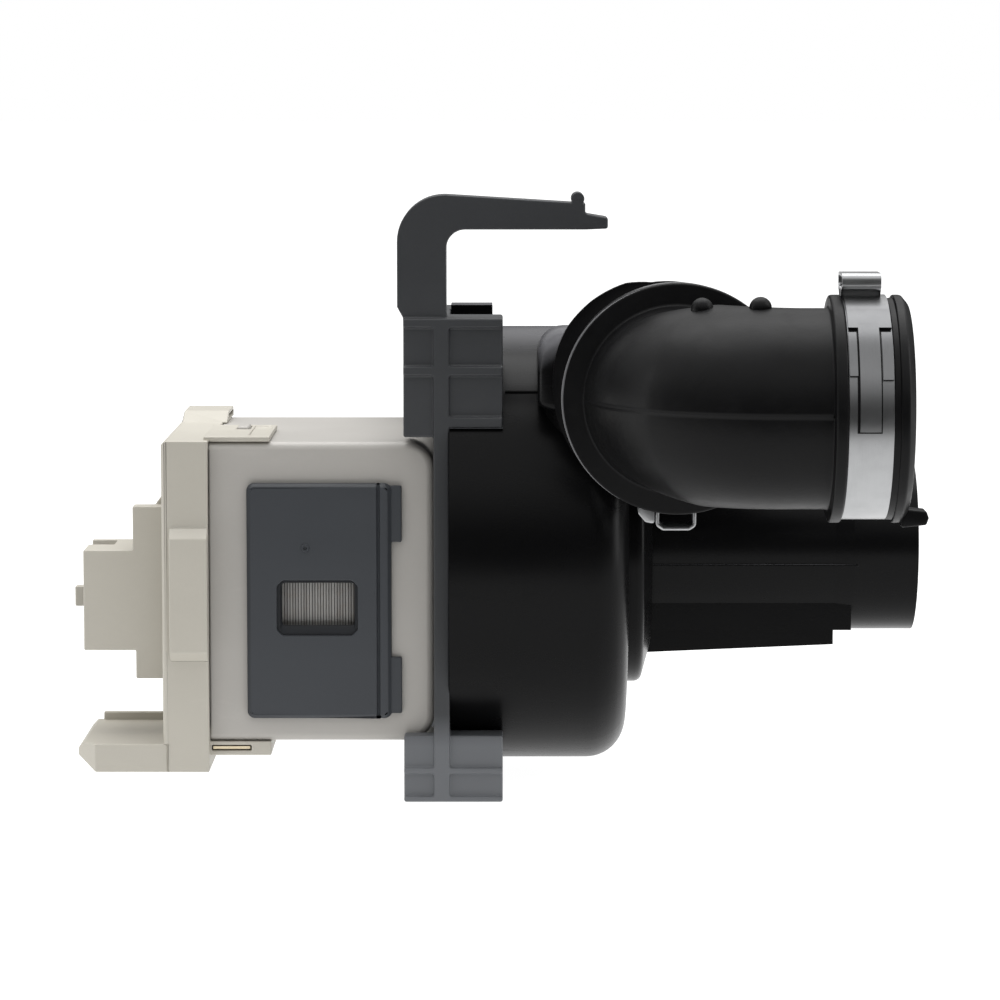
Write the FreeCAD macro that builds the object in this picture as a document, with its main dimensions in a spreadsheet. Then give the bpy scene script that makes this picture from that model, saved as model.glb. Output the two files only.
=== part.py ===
import FreeCAD, Part
import math
import os
import Sketcher

# Wash pump motor of a dishwasher: a wet-rotor motor in a cream case, a slate bracket, a black
# volute housing with its suction pipe, and a rubber outlet elbow held by two ear clamps.
# Frame: X is the shaft and suction axis and points out of the suction mouth, Z is up,
# and the origin is the centre of the suction mouth. The elbow points along -Y, then +X.

doc = FreeCAD.newDocument("pump_motor")
sheet = doc.addObject("Spreadsheet::Sheet", "Sizes")
pieces = []
rows = []


class Size:
    """A length with its number and the formula that binds it to the sheet."""

    def __init__(self, number, formula):
        self.number = number
        self.formula = formula

    def __add__(self, other):
        return joined(self, "+", other, self.number + number_of(other))

    def __radd__(self, other):
        return joined(other, "+", self, number_of(other) + self.number)

    def __sub__(self, other):
        return joined(self, "-", other, self.number - number_of(other))

    def __rsub__(self, other):
        return joined(other, "-", self, number_of(other) - self.number)

    def __mul__(self, other):
        return joined(self, "*", other, self.number * number_of(other))

    def __rmul__(self, other):
        return joined(other, "*", self, number_of(other) * self.number)

    def __truediv__(self, other):
        return joined(self, "/", other, self.number / number_of(other))

    def __neg__(self):
        return Size(-self.number, "(-1 * %s)" % self.formula)


def number_of(value):
    """Plain number of a size or a number."""
    return value.number if isinstance(value, Size) else float(value)


def formula_of(value):
    """Formula of a size or a number."""
    return value.formula if isinstance(value, Size) else "%.9f" % value


def joined(left, sign, right, number):
    """Size made of two values and a sign."""
    return Size(number, "(%s %s %s)" % (formula_of(left), sign, formula_of(right)))


def size(alias, number):
    """Writes one driving dimension into the sheet and returns it."""
    rows.append(alias)
    row = len(rows)
    sheet.set("A%d" % row, alias)
    sheet.set("B%d" % row, str(number))
    sheet.setAlias("B%d" % row, alias)
    return Size(float(number), "Sizes." + alias)


def bind(thing, path, value):
    """Ties a property of a feature to the sheet."""
    if isinstance(value, Size):
        thing.setExpression(path, value.formula)


def begin(label):
    """Starts one piece of the assembly as a body of its own."""
    body = doc.addObject("PartDesign::Body", label)
    body.Label = label
    pieces.append(body)
    return body


def sketch_on(body, name, role, at=(0, 0, 0)):
    """Empty sketch on an origin plane of its body, moved by the offset."""
    sketch = body.newObject("Sketcher::SketchObject", name)
    plane = [item for item in body.Origin.OriginFeatures if item.Role == role][0]
    sketch.AttachmentSupport = [(plane, "")]
    sketch.MapMode = "FlatFace"
    offset = FreeCAD.Vector(*[number_of(value) for value in at])
    sketch.AttachmentOffset = FreeCAD.Placement(offset, FreeCAD.Rotation())
    for letter, value in zip("xyz", at):
        bind(sketch, "AttachmentOffset.Base." + letter, value)
    return sketch


def pin_point(sketch, index, place, point):
    """Holds one point of a sketch at its distances from the sketch origin."""
    for direction, value in zip(("DistanceX", "DistanceY"), point):
        rule = Sketcher.Constraint(direction, -1, 1, index, place, number_of(value))
        bind(sketch, "Constraints[%d]" % sketch.addConstraint(rule), value)


def draw_loop(sketch, points):
    """Closed outline of straight lines through the points."""
    first = sketch.GeometryCount
    count = len(points)
    corners = [FreeCAD.Vector(number_of(x), number_of(y), 0) for x, y in points]
    for index in range(count):
        sketch.addGeometry(Part.LineSegment(corners[index], corners[(index + 1) % count]))
    for index in range(count):
        following = first + (index + 1) % count
        sketch.addConstraint(Sketcher.Constraint("Coincident", first + index, 2, following, 1))
        pin_point(sketch, first + index, 1, points[index])


def draw_circle(sketch, x, y, radius):
    """Circle about a point of the sketch."""
    centre = FreeCAD.Vector(number_of(x), number_of(y), 0)
    index = sketch.addGeometry(Part.Circle(centre, FreeCAD.Vector(0, 0, 1), number_of(radius)))
    pin_point(sketch, index, 3, (x, y))
    rule = sketch.addConstraint(Sketcher.Constraint("Radius", index, number_of(radius)))
    bind(sketch, "Constraints[%d]" % rule, radius)


def draw_arc(sketch, centre, radius, start, end):
    """Arc about a centre, from one angle to another, in degrees."""
    middle = FreeCAD.Vector(number_of(centre[0]), number_of(centre[1]), 0)
    circle = Part.Circle(middle, FreeCAD.Vector(0, 0, 1), number_of(radius))
    arc = Part.ArcOfCircle(circle, math.radians(start), math.radians(end))
    index = sketch.addGeometry(arc)
    pin_point(sketch, index, 3, centre)
    for place, angle in ((1, start), (2, end)):
        tip_x = centre[0] + radius * math.cos(math.radians(angle))
        tip_y = centre[1] + radius * math.sin(math.radians(angle))
        if place == 1:
            pin_point(sketch, index, place, (tip_x, tip_y))
        elif abs(math.sin(math.radians(angle))) > abs(math.cos(math.radians(angle))):
            rule = Sketcher.Constraint("DistanceX", -1, 1, index, place, number_of(tip_x))
            bind(sketch, "Constraints[%d]" % sketch.addConstraint(rule), tip_x)
        else:
            rule = Sketcher.Constraint("DistanceY", -1, 1, index, place, number_of(tip_y))
            bind(sketch, "Constraints[%d]" % sketch.addConstraint(rule), tip_y)
    return index


def pad(body, name, sketch, length, both=False, back=False):
    """Raises a sketch into material."""
    feature = body.newObject("PartDesign::Pad", name)
    feature.Profile = sketch
    feature.Length = number_of(length)
    bind(feature, "Length", length)
    feature.Midplane = both
    feature.Reversed = back
    return feature


def pocket(body, name, sketch, length, both=False, back=False):
    """Cuts a sketch out of the material."""
    feature = body.newObject("PartDesign::Pocket", name)
    feature.Profile = sketch
    feature.Length = number_of(length)
    bind(feature, "Length", length)
    feature.Midplane = both
    feature.Reversed = back
    return feature


def turn(body, name, points, about_x=True, at=(0, 0, 0), cut=False):
    """Turned form: a profile of (station, radius) points about the X axis or a line along Y."""
    sketch = sketch_on(body, name + "_profile", "XY_Plane", at)
    if about_x:
        draw_loop(sketch, points)
    else:
        draw_loop(sketch, [(radius, station) for station, radius in points])
    feature = body.newObject("PartDesign::Groove" if cut else "PartDesign::Revolution", name)
    feature.Profile = sketch
    feature.ReferenceAxis = (sketch, ["H_Axis" if about_x else "V_Axis"])
    feature.Angle = 360
    return feature


def box(body, name, x, y, z, cut=False):
    """Rectangular block between two stations on each axis, added or cut away."""
    kind = "PartDesign::SubtractiveBox" if cut else "PartDesign::AdditiveBox"
    feature = body.newObject(kind, name)
    corner = FreeCAD.Vector(number_of(x[0]), number_of(y[0]), number_of(z[0]))
    feature.Placement = FreeCAD.Placement(corner, FreeCAD.Rotation())
    for side, letter, span in (("Length", "x", x), ("Width", "y", y), ("Height", "z", z)):
        setattr(feature, side, number_of(span[1]) - number_of(span[0]))
        bind(feature, "Placement.Base." + letter, span[0])
        if isinstance(span[0], Size) or isinstance(span[1], Size):
            bind(feature, side, span[1] - span[0])
    return feature


def rod(body, name, axis, start, radius, length, cut=False):
    """Round bar or hole that runs from a start point along X, Y or Z."""
    kind = "PartDesign::SubtractiveCylinder" if cut else "PartDesign::AdditiveCylinder"
    feature = body.newObject(kind, name)
    corner = FreeCAD.Vector(*[number_of(value) for value in start])
    turns = {
        "X": FreeCAD.Rotation(FreeCAD.Vector(0, 1, 0), 90),
        "Y": FreeCAD.Rotation(FreeCAD.Vector(1, 0, 0), -90),
        "Z": FreeCAD.Rotation(),
    }
    feature.Placement = FreeCAD.Placement(corner, turns[axis])
    feature.Radius = number_of(radius)
    feature.Height = number_of(length)
    bind(feature, "Radius", radius)
    bind(feature, "Height", length)
    for letter, value in zip("xyz", start):
        bind(feature, "Placement.Base." + letter, value)
    return feature


def ball(body, name, centre, radius, cut=False):
    """Sphere about a point, added or cut away."""
    kind = "PartDesign::SubtractiveSphere" if cut else "PartDesign::AdditiveSphere"
    feature = body.newObject(kind, name)
    middle = FreeCAD.Vector(*[number_of(value) for value in centre])
    feature.Placement = FreeCAD.Placement(middle, FreeCAD.Rotation())
    feature.Radius = number_of(radius)
    bind(feature, "Radius", radius)
    for letter, value in zip("xyz", centre):
        bind(feature, "Placement.Base." + letter, value)
    return feature


def near(value, target):
    """Says whether a coordinate lies on a station."""
    return abs(value - number_of(target)) < 0.02


def soften(body, name, base, amount, chosen, bevel=False):
    """Rounds or bevels the edges of a feature that the test picks by their bounding box."""
    doc.recompute()
    names = []
    for index, edge in enumerate(base.Shape.Edges):
        if chosen(edge.BoundBox):
            names.append("Edge%d" % (index + 1))
    feature = body.newObject("PartDesign::Chamfer" if bevel else "PartDesign::Fillet", name)
    feature.Base = (base, names)
    path = "Size" if bevel else "Radius"
    setattr(feature, path, number_of(amount))
    bind(feature, path, amount)
    return feature


def repeat_round(body, name, features, count):
    """Repeats features about the shaft axis."""
    pattern = body.newObject("PartDesign::PolarPattern", name)
    pattern.Originals = features
    axis = [item for item in body.Origin.OriginFeatures if item.Role == "X_Axis"][0]
    pattern.Axis = (axis, [""])
    pattern.Angle = 360
    pattern.Occurrences = count
    body.Tip = pattern
    return pattern


# Pump housing and rear cover
inlet_radius = size("inlet_radius", 19.55)
inlet_bore = size("inlet_bore", 16.55)
inlet_length = size("inlet_length", 58.3)
collar_radius = size("collar_radius", 31.2)
collar_length = size("collar_length", 5.6)
collar_rim = size("collar_rim", 3.4)
collar_crown = size("collar_crown", 8.0)
drum_radius = size("drum_radius", 48.0)
drum_length = size("drum_length", 26.6)
drum_wall = size("drum_wall", 3.0)
drum_corner = size("drum_corner", 8.5)
neck_length = size("neck_length", 5.1)
neck_wall = size("neck_wall", 4.0)
cover_length = size("cover_length", 11.8)
cover_wall = size("cover_wall", 3.0)
cover_rim = size("cover_rim", 6.0)
lip_length = size("lip_length", 5.5)
slip = size("slip_clearance", 0.2)
lug_width = size("lug_width", 10.0)
lug_top = size("lug_top", 53.0)
lug_length = size("lug_length", 9.1)
seal_tube = size("seal_tube", 0.75)
mouth_bevel = size("mouth_bevel", 0.8)
suction_seat_length = size("suction_seat_length", 14.0)
pipe_radius = size("pipe_radius", 19.2)
seat_ramp = size("seat_ramp", 4.0)
overshoot = size("overshoot", 1.0)
seal_groove_start = size("seal_groove_start", 1.5)
seal_groove_width = size("seal_groove_width", 2.6)
seal_groove_depth = size("seal_groove_depth", 1.4)
lug_root = size("lug_root", 2.0)
wear_ring_wall = size("wear_ring_wall", 1.5)

# Ribs under the suction pipe
rib_thickness = size("rib_thickness", 2.4)
keel_depth = size("keel_depth", 24.9)
keel_tip_depth = size("keel_tip_depth", 23.1)
keel_end = size("keel_end", 17.1)
skirt_place = size("skirt_place", 15.0)
skirt_depth = size("skirt_depth", 18.0)
skirt_end = size("skirt_end", 14.3)

# Outlet duct and elbow
port_x = size("port_offset", -54.7)
port_z = size("port_height", 36.7)
duct_radius = size("duct_radius", 19.6)
duct_bore = size("duct_bore", 16.2)
spigot_front = size("spigot_reach", 60.2)
duct_back = size("duct_back", 3.0)
throat_radius = size("throat_radius", 9.5)
throat_start = size("throat_start", 84.0)
fairing_radius = size("fairing_radius", 14.5)
fairing_offset = size("fairing_offset", 14.2)
fairing_reach = size("fairing_reach", 29.6)
fairing_drop = size("fairing_drop", 0.5)
barb_taper = size("barb_taper", 2.0)
barb_relief = size("barb_relief", 0.6)
elbow_bore = size("elbow_bore", 15.2)
elbow_radius = size("elbow_radius", 20.2)
elbow_flare = size("elbow_flare", 20.6)
bend_radius = size("bend_radius", 23.4)
bend_start = size("bend_start", 62.8)
cuff_back = size("cuff_back", 45.0)
cuff_seat = size("cuff_seat", 22.8)
cuff_bead = size("cuff_bead", 24.0)
cuff_lip = size("cuff_lip", 2.6)
cuff_seat_length = size("cuff_seat_length", 12.2)
bead_width = size("bead_width", 3.0)
end_bead_width = size("end_bead_width", 2.4)
band_width = size("band_width", 9.0)
band_thickness = size("band_thickness", 0.8)
end_seat = size("end_seat", 21.8)
end_bead = size("end_bead", 22.9)
end_lip = size("end_lip", 4.3)
end_bore = size("end_bore", 18.6)
end_station = size("end_station", 10.0)
end_bore_depth = size("end_bore_depth", 18.6)
nub_radius = size("nub_radius", 2.3)
ear_length = size("ear_length", 8.0)
ear_height = size("ear_height", 4.2)
ear_wall = size("ear_wall", 0.9)
ear_inset = size("ear_inset", 0.5)
cuff_root = size("cuff_root", 1.6)
bead_round = size("bead_round", 0.8)
lip_rise = size("lip_rise", 0.4)
back_lip_rise = size("back_lip_rise", 1.4)
near_nub_x = size("near_nub_offset", 3.9)
near_nub_y = size("near_nub_back", 3.9)
near_nub_z = size("near_nub_rise", 19.8)
far_nub_x = size("far_nub_offset", 15.4)
far_nub_z = size("far_nub_rise", 20.2)
pull_tab_width = size("pull_tab_width", 6.0)
pull_tab_back = size("pull_tab_back", 1.3)
pull_tab_front = size("pull_tab_front", 4.3)
pull_tab_drop = size("pull_tab_drop", 0.5)
pull_tab_rise = size("pull_tab_rise", 3.3)

# Bracket
plate_thickness = size("plate_thickness", 3.4)
plate_half_width = size("plate_half_width", 39.0)
plate_half_height = size("plate_half_height", 52.0)
block_inset = size("block_inset", 1.0)
block_width = size("block_width", 15.0)
block_left_reach = size("block_left_reach", 6.4)
block_right_reach = size("block_right_reach", 11.4)
upper_block_foot = size("upper_block_foot", 28.6)
upper_panel_foot = size("upper_panel_foot", 26.6)
lower_block_top = size("lower_block_top", 37.7)
rib_band = size("rib_band", 2.0)
middle_rib = size("middle_rib", 39.8)
socket_radius = size("socket_radius", 4.5)
socket_y = size("socket_y", 31.0)
socket_z = size("socket_z", 45.0)
low_band_height = size("low_band_height", 1.2)
low_rib_foot = size("low_rib_foot", 6.1)
low_rib_height = size("low_rib_height", 1.3)
foot_rim_height = size("foot_rim_height", 2.4)
back_block_drop = size("back_block_drop", 1.4)
back_block_recess = size("back_block_recess", 2.3)
arm_root = size("arm_root", 1.0)
arm_shoulder = size("arm_shoulder", 2.4)
tongue_bevel = size("tongue_bevel", 0.8)
tongue_rise = size("tongue_rise", 0.2)
arm_nub_radius = size("arm_nub_radius", 1.4)
arm_nub_back = size("arm_nub_back", 1.6)
arm_nub_rise = size("arm_nub_rise", 0.9)
clearance = size("drum_clearance", 0.3)
arm_left = size("arm_left", 113.4)
arm_inner = size("arm_inner", 102.9)
arm_top = size("arm_top", 78.2)
arm_drop = size("arm_drop", 1.8)
arm_under = size("arm_under", 70.8)
arm_end = size("arm_end", 73.4)
arm_width = size("arm_width", 8.0)
arm_corner = size("arm_corner", 10.0)
arm_fillet = size("arm_fillet", 4.0)
tongue_length = size("tongue_length", 4.8)
tongue_height = size("tongue_height", 3.4)
screw_radius = size("screw_radius", 1.5)
screw_head = size("screw_head", 3.0)
screw_length = size("screw_length", 9.0)
screw_head_height = size("screw_head_height", 2.2)
screw_circle = size("screw_circle", 44.9)

# Motor case, core and cap
case_length = size("case_length", 48.4)
case_half_width = size("case_half_width", 33.0)
case_top = size("case_top", 25.1)
case_bottom = size("case_bottom", 39.7)
case_wall = size("case_wall", 1.8)
case_corner = size("case_corner", 5.7)
stack_length = size("stack_length", 28.8)
clip_length = size("clip_length", 31.1)
clip_start = size("clip_start", 9.1)
clip_top = size("clip_top", 16.4)
clip_bottom = size("clip_bottom", 34.5)
clip_thickness = size("clip_thickness", 2.2)
clip_bevel = size("clip_bevel", 0.8)
clip_corner = size("clip_corner", 1.6)
tab_height = size("tab_height", 12.2)
window_left = size("window_left", 6.5)
window_length = size("window_length", 17.3)
window_top = size("window_top", 4.5)
window_height = size("window_height", 11.9)
yoke_bottom = size("yoke_bottom", 32.4)
yoke_top = size("yoke_top", 25.2)
slot_top = size("slot_top", 19.6)
slot_half_width = size("slot_half_width", 19.0)
coil_overhang = size("coil_overhang", 5.2)
bobbin_wall = size("bobbin_wall", 1.0)
cheek_drop = size("cheek_drop", 4.6)
winding_drop = size("winding_drop", 3.4)
winding_corner = size("winding_corner", 1.5)
catch_front = size("catch_front", 19.0)
catch_inner = size("catch_inner", 28.0)
catch_width = size("catch_width", 2.6)
catch_place = size("catch_place", 5.0)
catch_height = size("catch_height", 1.7)
side_window_inset = size("side_window_inset", 2.0)
tab_bite = size("tab_bite", 1.0)
tab_reach = size("tab_reach", 2.2)
tab_step = size("tab_step", 0.8)
upper_tab_drop = size("upper_tab_drop", 0.5)
lower_tab_rise = size("lower_tab_rise", 1.1)
panel_groove_place = size("panel_groove_place", 3.1)
panel_groove_width = size("panel_groove_width", 0.6)
panel_groove_depth = size("panel_groove_depth", 0.7)
window_corner = size("window_corner", 1.2)
cap_depth = size("cap_depth", 10.0)
cap_half_width = size("cap_half_width", 36.0)
cap_top = size("cap_top", 25.5)
cap_bottom = size("cap_bottom", 46.0)
cap_wall = size("cap_wall", 2.2)
strap_length = size("strap_length", 13.2)
strap_thickness = size("strap_thickness", 1.1)
low_strap_thickness = size("low_strap_thickness", 3.0)
strap_panel_length = size("strap_panel_length", 3.8)
strap_panel_border = size("strap_panel_border", 0.9)
strap_panel_front = size("strap_panel_front", 4.0)
strap_panel_depth = size("strap_panel_depth", 0.4)
slit_inset = size("slit_inset", 0.3)
slit_length = size("slit_length", 8.6)
slit_depth = size("slit_depth", 6.0)
slit_drop = size("slit_drop", 0.8)
slit_height = size("slit_height", 1.2)
contact_inset = size("contact_inset", 0.5)
strap_border = size("strap_border", 2.0)
hood_rise = size("hood_rise", 2.0)
hood_ramp = size("hood_ramp", 7.0)
hood_shoulder = size("hood_shoulder", 1.2)
plug_length = size("plug_length", 18.0)
plug_top = size("plug_top", 0.7)
plug_bottom = size("plug_bottom", 21.2)
plug_front = size("plug_front", 24.0)
plug_depth = size("plug_depth", 22.0)
plug_wall = size("plug_wall", 1.8)
plug_cavity = size("plug_cavity", 13.0)
plug_notch_length = size("plug_notch_length", 5.6)
plug_notch_place = size("plug_notch_place", 12.5)
prong_length = size("prong_length", 14.6)
cap_corner = size("cap_corner", 1.2)
register_reach = size("register_reach", 2.5)
register_wall = size("register_wall", 1.6)
rim_web_length = size("rim_web_length", 2.0)
hood_start = size("hood_start", 0.8)
hood_end = size("hood_end", 1.0)
hood_side = size("hood_side", 13.0)
hood_wall = size("hood_wall", 2.0)
hood_roof = size("hood_roof", 0.8)
hood_rib_width = size("hood_rib_width", 1.4)
hood_rib_place = size("hood_rib_place", 23.0)
hood_rib_pitch = size("hood_rib_pitch", 5.0)
side_pad_inset = size("side_pad_inset", 1.8)
side_pad_bottom = size("side_pad_bottom", 21.9)
side_pad_top = size("side_pad_top", 7.0)
side_pad_rise = size("side_pad_rise", 2.5)
side_pad_bevel = size("side_pad_bevel", 2.2)
step_inner = size("step_inner", 6.0)
upper_step_length = size("upper_step_length", 7.2)
upper_step_top = size("upper_step_top", 10.3)
upper_step_depth = size("upper_step_depth", 5.0)
lower_step_length = size("lower_step_length", 6.7)
lower_step_bottom = size("lower_step_bottom", 27.4)
gusset_place = size("gusset_place", 18.0)
gusset_width = size("gusset_width", 2.4)
gusset_top = size("gusset_top", 13.1)
gusset_reach = size("gusset_reach", 2.6)
gusset_tip = size("gusset_tip", 0.6)
key_place = size("key_place", 11.0)
key_width = size("key_width", 3.0)
key_reach = size("key_reach", 3.2)
key_bottom = size("key_bottom", 13.2)
key_top = size("key_top", 8.8)
prong_inner = size("prong_inner", 1.0)
prong_deck = size("prong_deck", 39.9)
prong_rib_top = size("prong_rib_top", 38.1)
prong_rib_width = size("prong_rib_width", 2.0)
nose_length = size("nose_length", 4.1)
nose_bottom = size("nose_bottom", 43.0)
nose_top = size("nose_top", 41.4)
nose_slope = size("nose_slope", 1.4)
nose_cut = size("nose_cut", 5.0)
blade_length = size("blade_length", 8.0)
blade_width = size("blade_width", 4.8)
blade_thickness = size("blade_thickness", 0.8)
blade_pitch = size("blade_pitch", 5.0)

# Rotor and hydraulics
shaft_radius = size("shaft_radius", 4.0)
running_gap = size("running_gap", 0.05)
bush_radius = size("bush_radius", 6.4)
can_radius = size("can_radius", 17.0)
can_wall = size("can_wall", 0.6)
can_flange = size("can_flange", 24.0)
can_length = size("can_length", 49.3)
can_clearance = size("can_clearance", 0.3)
magnet_radius = size("magnet_radius", 14.6)
magnet_bore = size("magnet_bore", 9.0)
sleeve_wall = size("sleeve_wall", 1.0)
washer_thickness = size("washer_thickness", 1.2)
axial_play = size("axial_play", 0.4)
washer_wall = size("washer_wall", 4.5)
bush_wall = size("bush_housing_wall", 2.6)
bush_back = size("bush_back", 7.6)
bush_front = size("bush_front", 3.0)
holder_nose = size("holder_nose", 4.0)
flow_hole_place = size("flow_hole_place", 13.0)
flow_hole_radius = size("flow_hole_radius", 1.5)
flange_thickness = size("flange_thickness", 1.0)
rear_cup = size("rear_cup", 7.0)
rear_cup_floor = size("rear_cup_floor", 1.4)
shaft_tail = size("shaft_tail", 5.2)
thread_length = size("thread_length", 5.0)
thread_step = size("thread_step", 1.0)
thread_bevel = size("thread_bevel", 0.4)
impeller_gap = size("impeller_gap", 6.8)
hub_rise = size("hub_rise", 3.4)
hub_foot = size("hub_foot", 7.0)
hub_shoulder = size("hub_shoulder", 4.5)
hub_shoulder_rise = size("hub_shoulder_rise", 3.0)
vane_root = size("vane_root", 4.6)
vane_rise = size("vane_rise", 4.5)
shroud_rise = size("shroud_rise", 4.0)
shroud_step = size("shroud_step", 0.4)
eye_gap = size("eye_gap", 0.4)
eye_relief = size("eye_relief", 0.6)
nut_wall = size("nut_wall", 2.0)
nut_height = size("nut_height", 3.6)
impeller_radius = size("impeller_radius", 33.0)
disc_thickness = size("disc_thickness", 2.2)
outlet_width = size("outlet_width", 7.8)
eye_radius = size("eye_radius", 15.2)
shroud_thickness = size("shroud_thickness", 1.4)
vane_thickness = size("vane_thickness", 1.8)
vane_count = 6

# Stations along the shaft, counted back from the suction mouth
collar_face = -inlet_length
drum_face = collar_face - collar_length
joint_plane = drum_face - drum_length
cover_back = joint_plane - cover_length
plate_left = cover_back - plate_thickness
case_left = plate_left - case_length
cap_left = case_left - cap_depth
chamber_front = drum_face - drum_wall
neck_end = chamber_front - neck_length
chamber_radius = drum_radius - drum_wall
lip_end = joint_plane + lip_length
leg_y = -(bend_start + bend_radius)
bend_x = port_x + bend_radius
clip_right = plate_left - clip_start
clip_left = clip_right - clip_length
stack_right = clip_right - (clip_length - stack_length) / 2
stack_left = stack_right - stack_length
wear_seat = inlet_bore + wear_ring_wall


def make_housing():
    """Volute drum, suction pipe with its ribs, and the outlet duct with its spigot."""
    body = begin("pump_housing")
    outer = turn(body, "drum", [
        (joint_plane, 0), (joint_plane, drum_radius), (drum_face, drum_radius),
        (drum_face, collar_radius), (drum_face + collar_rim, collar_radius),
        (collar_face, collar_radius - collar_crown), (collar_face, pipe_radius),
        (-suction_seat_length - seat_ramp, pipe_radius), (-suction_seat_length, inlet_radius),
        (0, inlet_radius), (0, 0),
    ])
    rounded = soften(body, "drum_shoulder", outer, drum_corner, lambda edge:
                     near(edge.XMin, drum_face) and edge.XLength < 0.01
                     and near(edge.ZMax, drum_radius))
    soften(body, "collar_edge", rounded, collar_rim / 2, lambda edge:
           near(edge.XMin, drum_face + collar_rim) and edge.XLength < 0.01
           and near(edge.ZMax, collar_radius))
    keel = sketch_on(body, "keel_outline", "XZ_Plane")
    draw_loop(keel, [
        (collar_face - overshoot, -inlet_bore - overshoot), (collar_face - overshoot, -keel_depth),
        (-keel_end, -keel_tip_depth), (-keel_end, -inlet_bore - overshoot),
    ])
    pad(body, "keel", keel, rib_thickness, both=True)
    box(body, "skirt", (collar_face - overshoot, -skirt_end),
        (-skirt_place, rib_thickness - skirt_place), (-skirt_depth, -inlet_bore / 2))
    box(body, "rear_skirt", (collar_face - overshoot, -skirt_end),
        (skirt_place - rib_thickness, skirt_place), (-skirt_depth, -inlet_bore / 2))
    rod(body, "duct", "Y", (port_x, -spigot_front, port_z), duct_radius, spigot_front + duct_back)
    ball(body, "duct_dome", (port_x, duct_back, port_z), duct_radius)
    rod(body, "throat_wall", "X", (-throat_start + drum_wall, duct_back, port_z),
        drum_radius - port_z - slip, port_x + throat_start - drum_wall)
    root_x = port_x - fairing_offset
    root_z = drum_radius - fairing_radius - fairing_drop
    rod(body, "fairing", "Y", (root_x, -fairing_reach, root_z), fairing_radius, fairing_reach)
    ball(body, "fairing_dome", (root_x, -fairing_reach, root_z), fairing_radius)
    turn(body, "spigot_barb", [
        (-spigot_front, duct_bore), (-spigot_front, duct_radius - barb_relief),
        (barb_taper - spigot_front, duct_radius + slip / 2),
        (barb_taper * 2 - spigot_front, duct_radius + slip / 2),
        (barb_taper * 2.5 - spigot_front, duct_radius - barb_relief / 2),
        (barb_taper * 3 - spigot_front, duct_bore),
    ], about_x=False, at=(port_x, 0, port_z))
    turn(body, "chamber", [
        (joint_plane - overshoot, 0), (joint_plane - overshoot, chamber_radius),
        (chamber_front - drum_corner + drum_wall, chamber_radius),
        (chamber_front, chamber_radius - drum_corner + drum_wall),
        (chamber_front, inlet_bore + neck_wall), (neck_end, inlet_bore + neck_wall), (neck_end, 0),
    ], cut=True)
    rod(body, "inlet_bore", "X", (neck_end - overshoot, 0, 0), inlet_bore,
        overshoot * 2 - neck_end, cut=True)
    turn(body, "mouth_bevel", [
        (overshoot, 0), (overshoot, inlet_bore + mouth_bevel + overshoot), (0, inlet_bore + mouth_bevel),
        (-mouth_bevel, inlet_bore), (-mouth_bevel, 0),
    ], cut=True)
    rod(body, "wear_ring_seat", "X", (neck_end - overshoot, 0, 0), wear_seat, neck_length, cut=True)
    rod(body, "duct_bore", "Y", (port_x, -spigot_front - overshoot, port_z),
        duct_bore, spigot_front + duct_back + overshoot, cut=True)
    ball(body, "dome_bore", (port_x, duct_back, port_z), duct_bore, cut=True)
    rod(body, "throat", "X", (-throat_start, duct_back, port_z),
        throat_radius, port_x + throat_start, cut=True)


def make_rear_cover():
    """Back of the volute: a dished cover with the lip that registers in the drum."""
    body = begin("rear_cover")
    lip_radius = chamber_radius - slip
    groove_floor = lip_radius - seal_groove_depth
    groove_start = joint_plane + seal_groove_start
    groove_end = groove_start + seal_groove_width
    turn(body, "dish", [
        (cover_back, can_radius + can_clearance), (cover_back, drum_radius),
        (joint_plane, drum_radius), (joint_plane, lip_radius), (groove_start, lip_radius),
        (groove_start, groove_floor), (groove_end, groove_floor),
        (groove_end, lip_radius), (lip_end, lip_radius),
        (lip_end, drum_radius - cover_rim), (cover_back + cover_wall, drum_radius - cover_rim),
        (cover_back + cover_wall, can_radius + can_clearance),
    ])
    box(body, "top_lug", (cover_back, cover_back + lug_length),
        (-lug_width / 2, lug_width / 2), (drum_radius - lug_root, lug_top))
    for name, y, z in screw_places():
        rod(body, "pilot_" + name, "X", (cover_back - overshoot, y, z),
            screw_radius + slip / 2, screw_length + overshoot, cut=True)


def screw_places():
    """Names and places of the screws that hold the cover to the bracket."""
    places = []
    for name, degrees in (("front", 114), ("back", 66), ("low", 270)):
        angle = math.radians(degrees)
        places.append((name, screw_circle * math.cos(angle), screw_circle * math.sin(angle)))
    return places


def make_seal():
    """Rubber ring in the groove of the cover's lip."""
    ring = doc.addObject("Part::Torus", "cover_seal_ring")
    ring.Label = "cover_seal_ring"
    bind(ring, "Radius1", chamber_radius - slip / 4 - seal_tube)
    bind(ring, "Radius2", seal_tube)
    middle = joint_plane + seal_groove_start + seal_groove_width / 2
    ring.Placement = FreeCAD.Placement(FreeCAD.Vector(number_of(middle), 0, 0),
                                       FreeCAD.Rotation(FreeCAD.Vector(0, 1, 0), 90))
    bind(ring, "Placement.Base.x", middle)
    pieces.append(ring)


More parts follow.
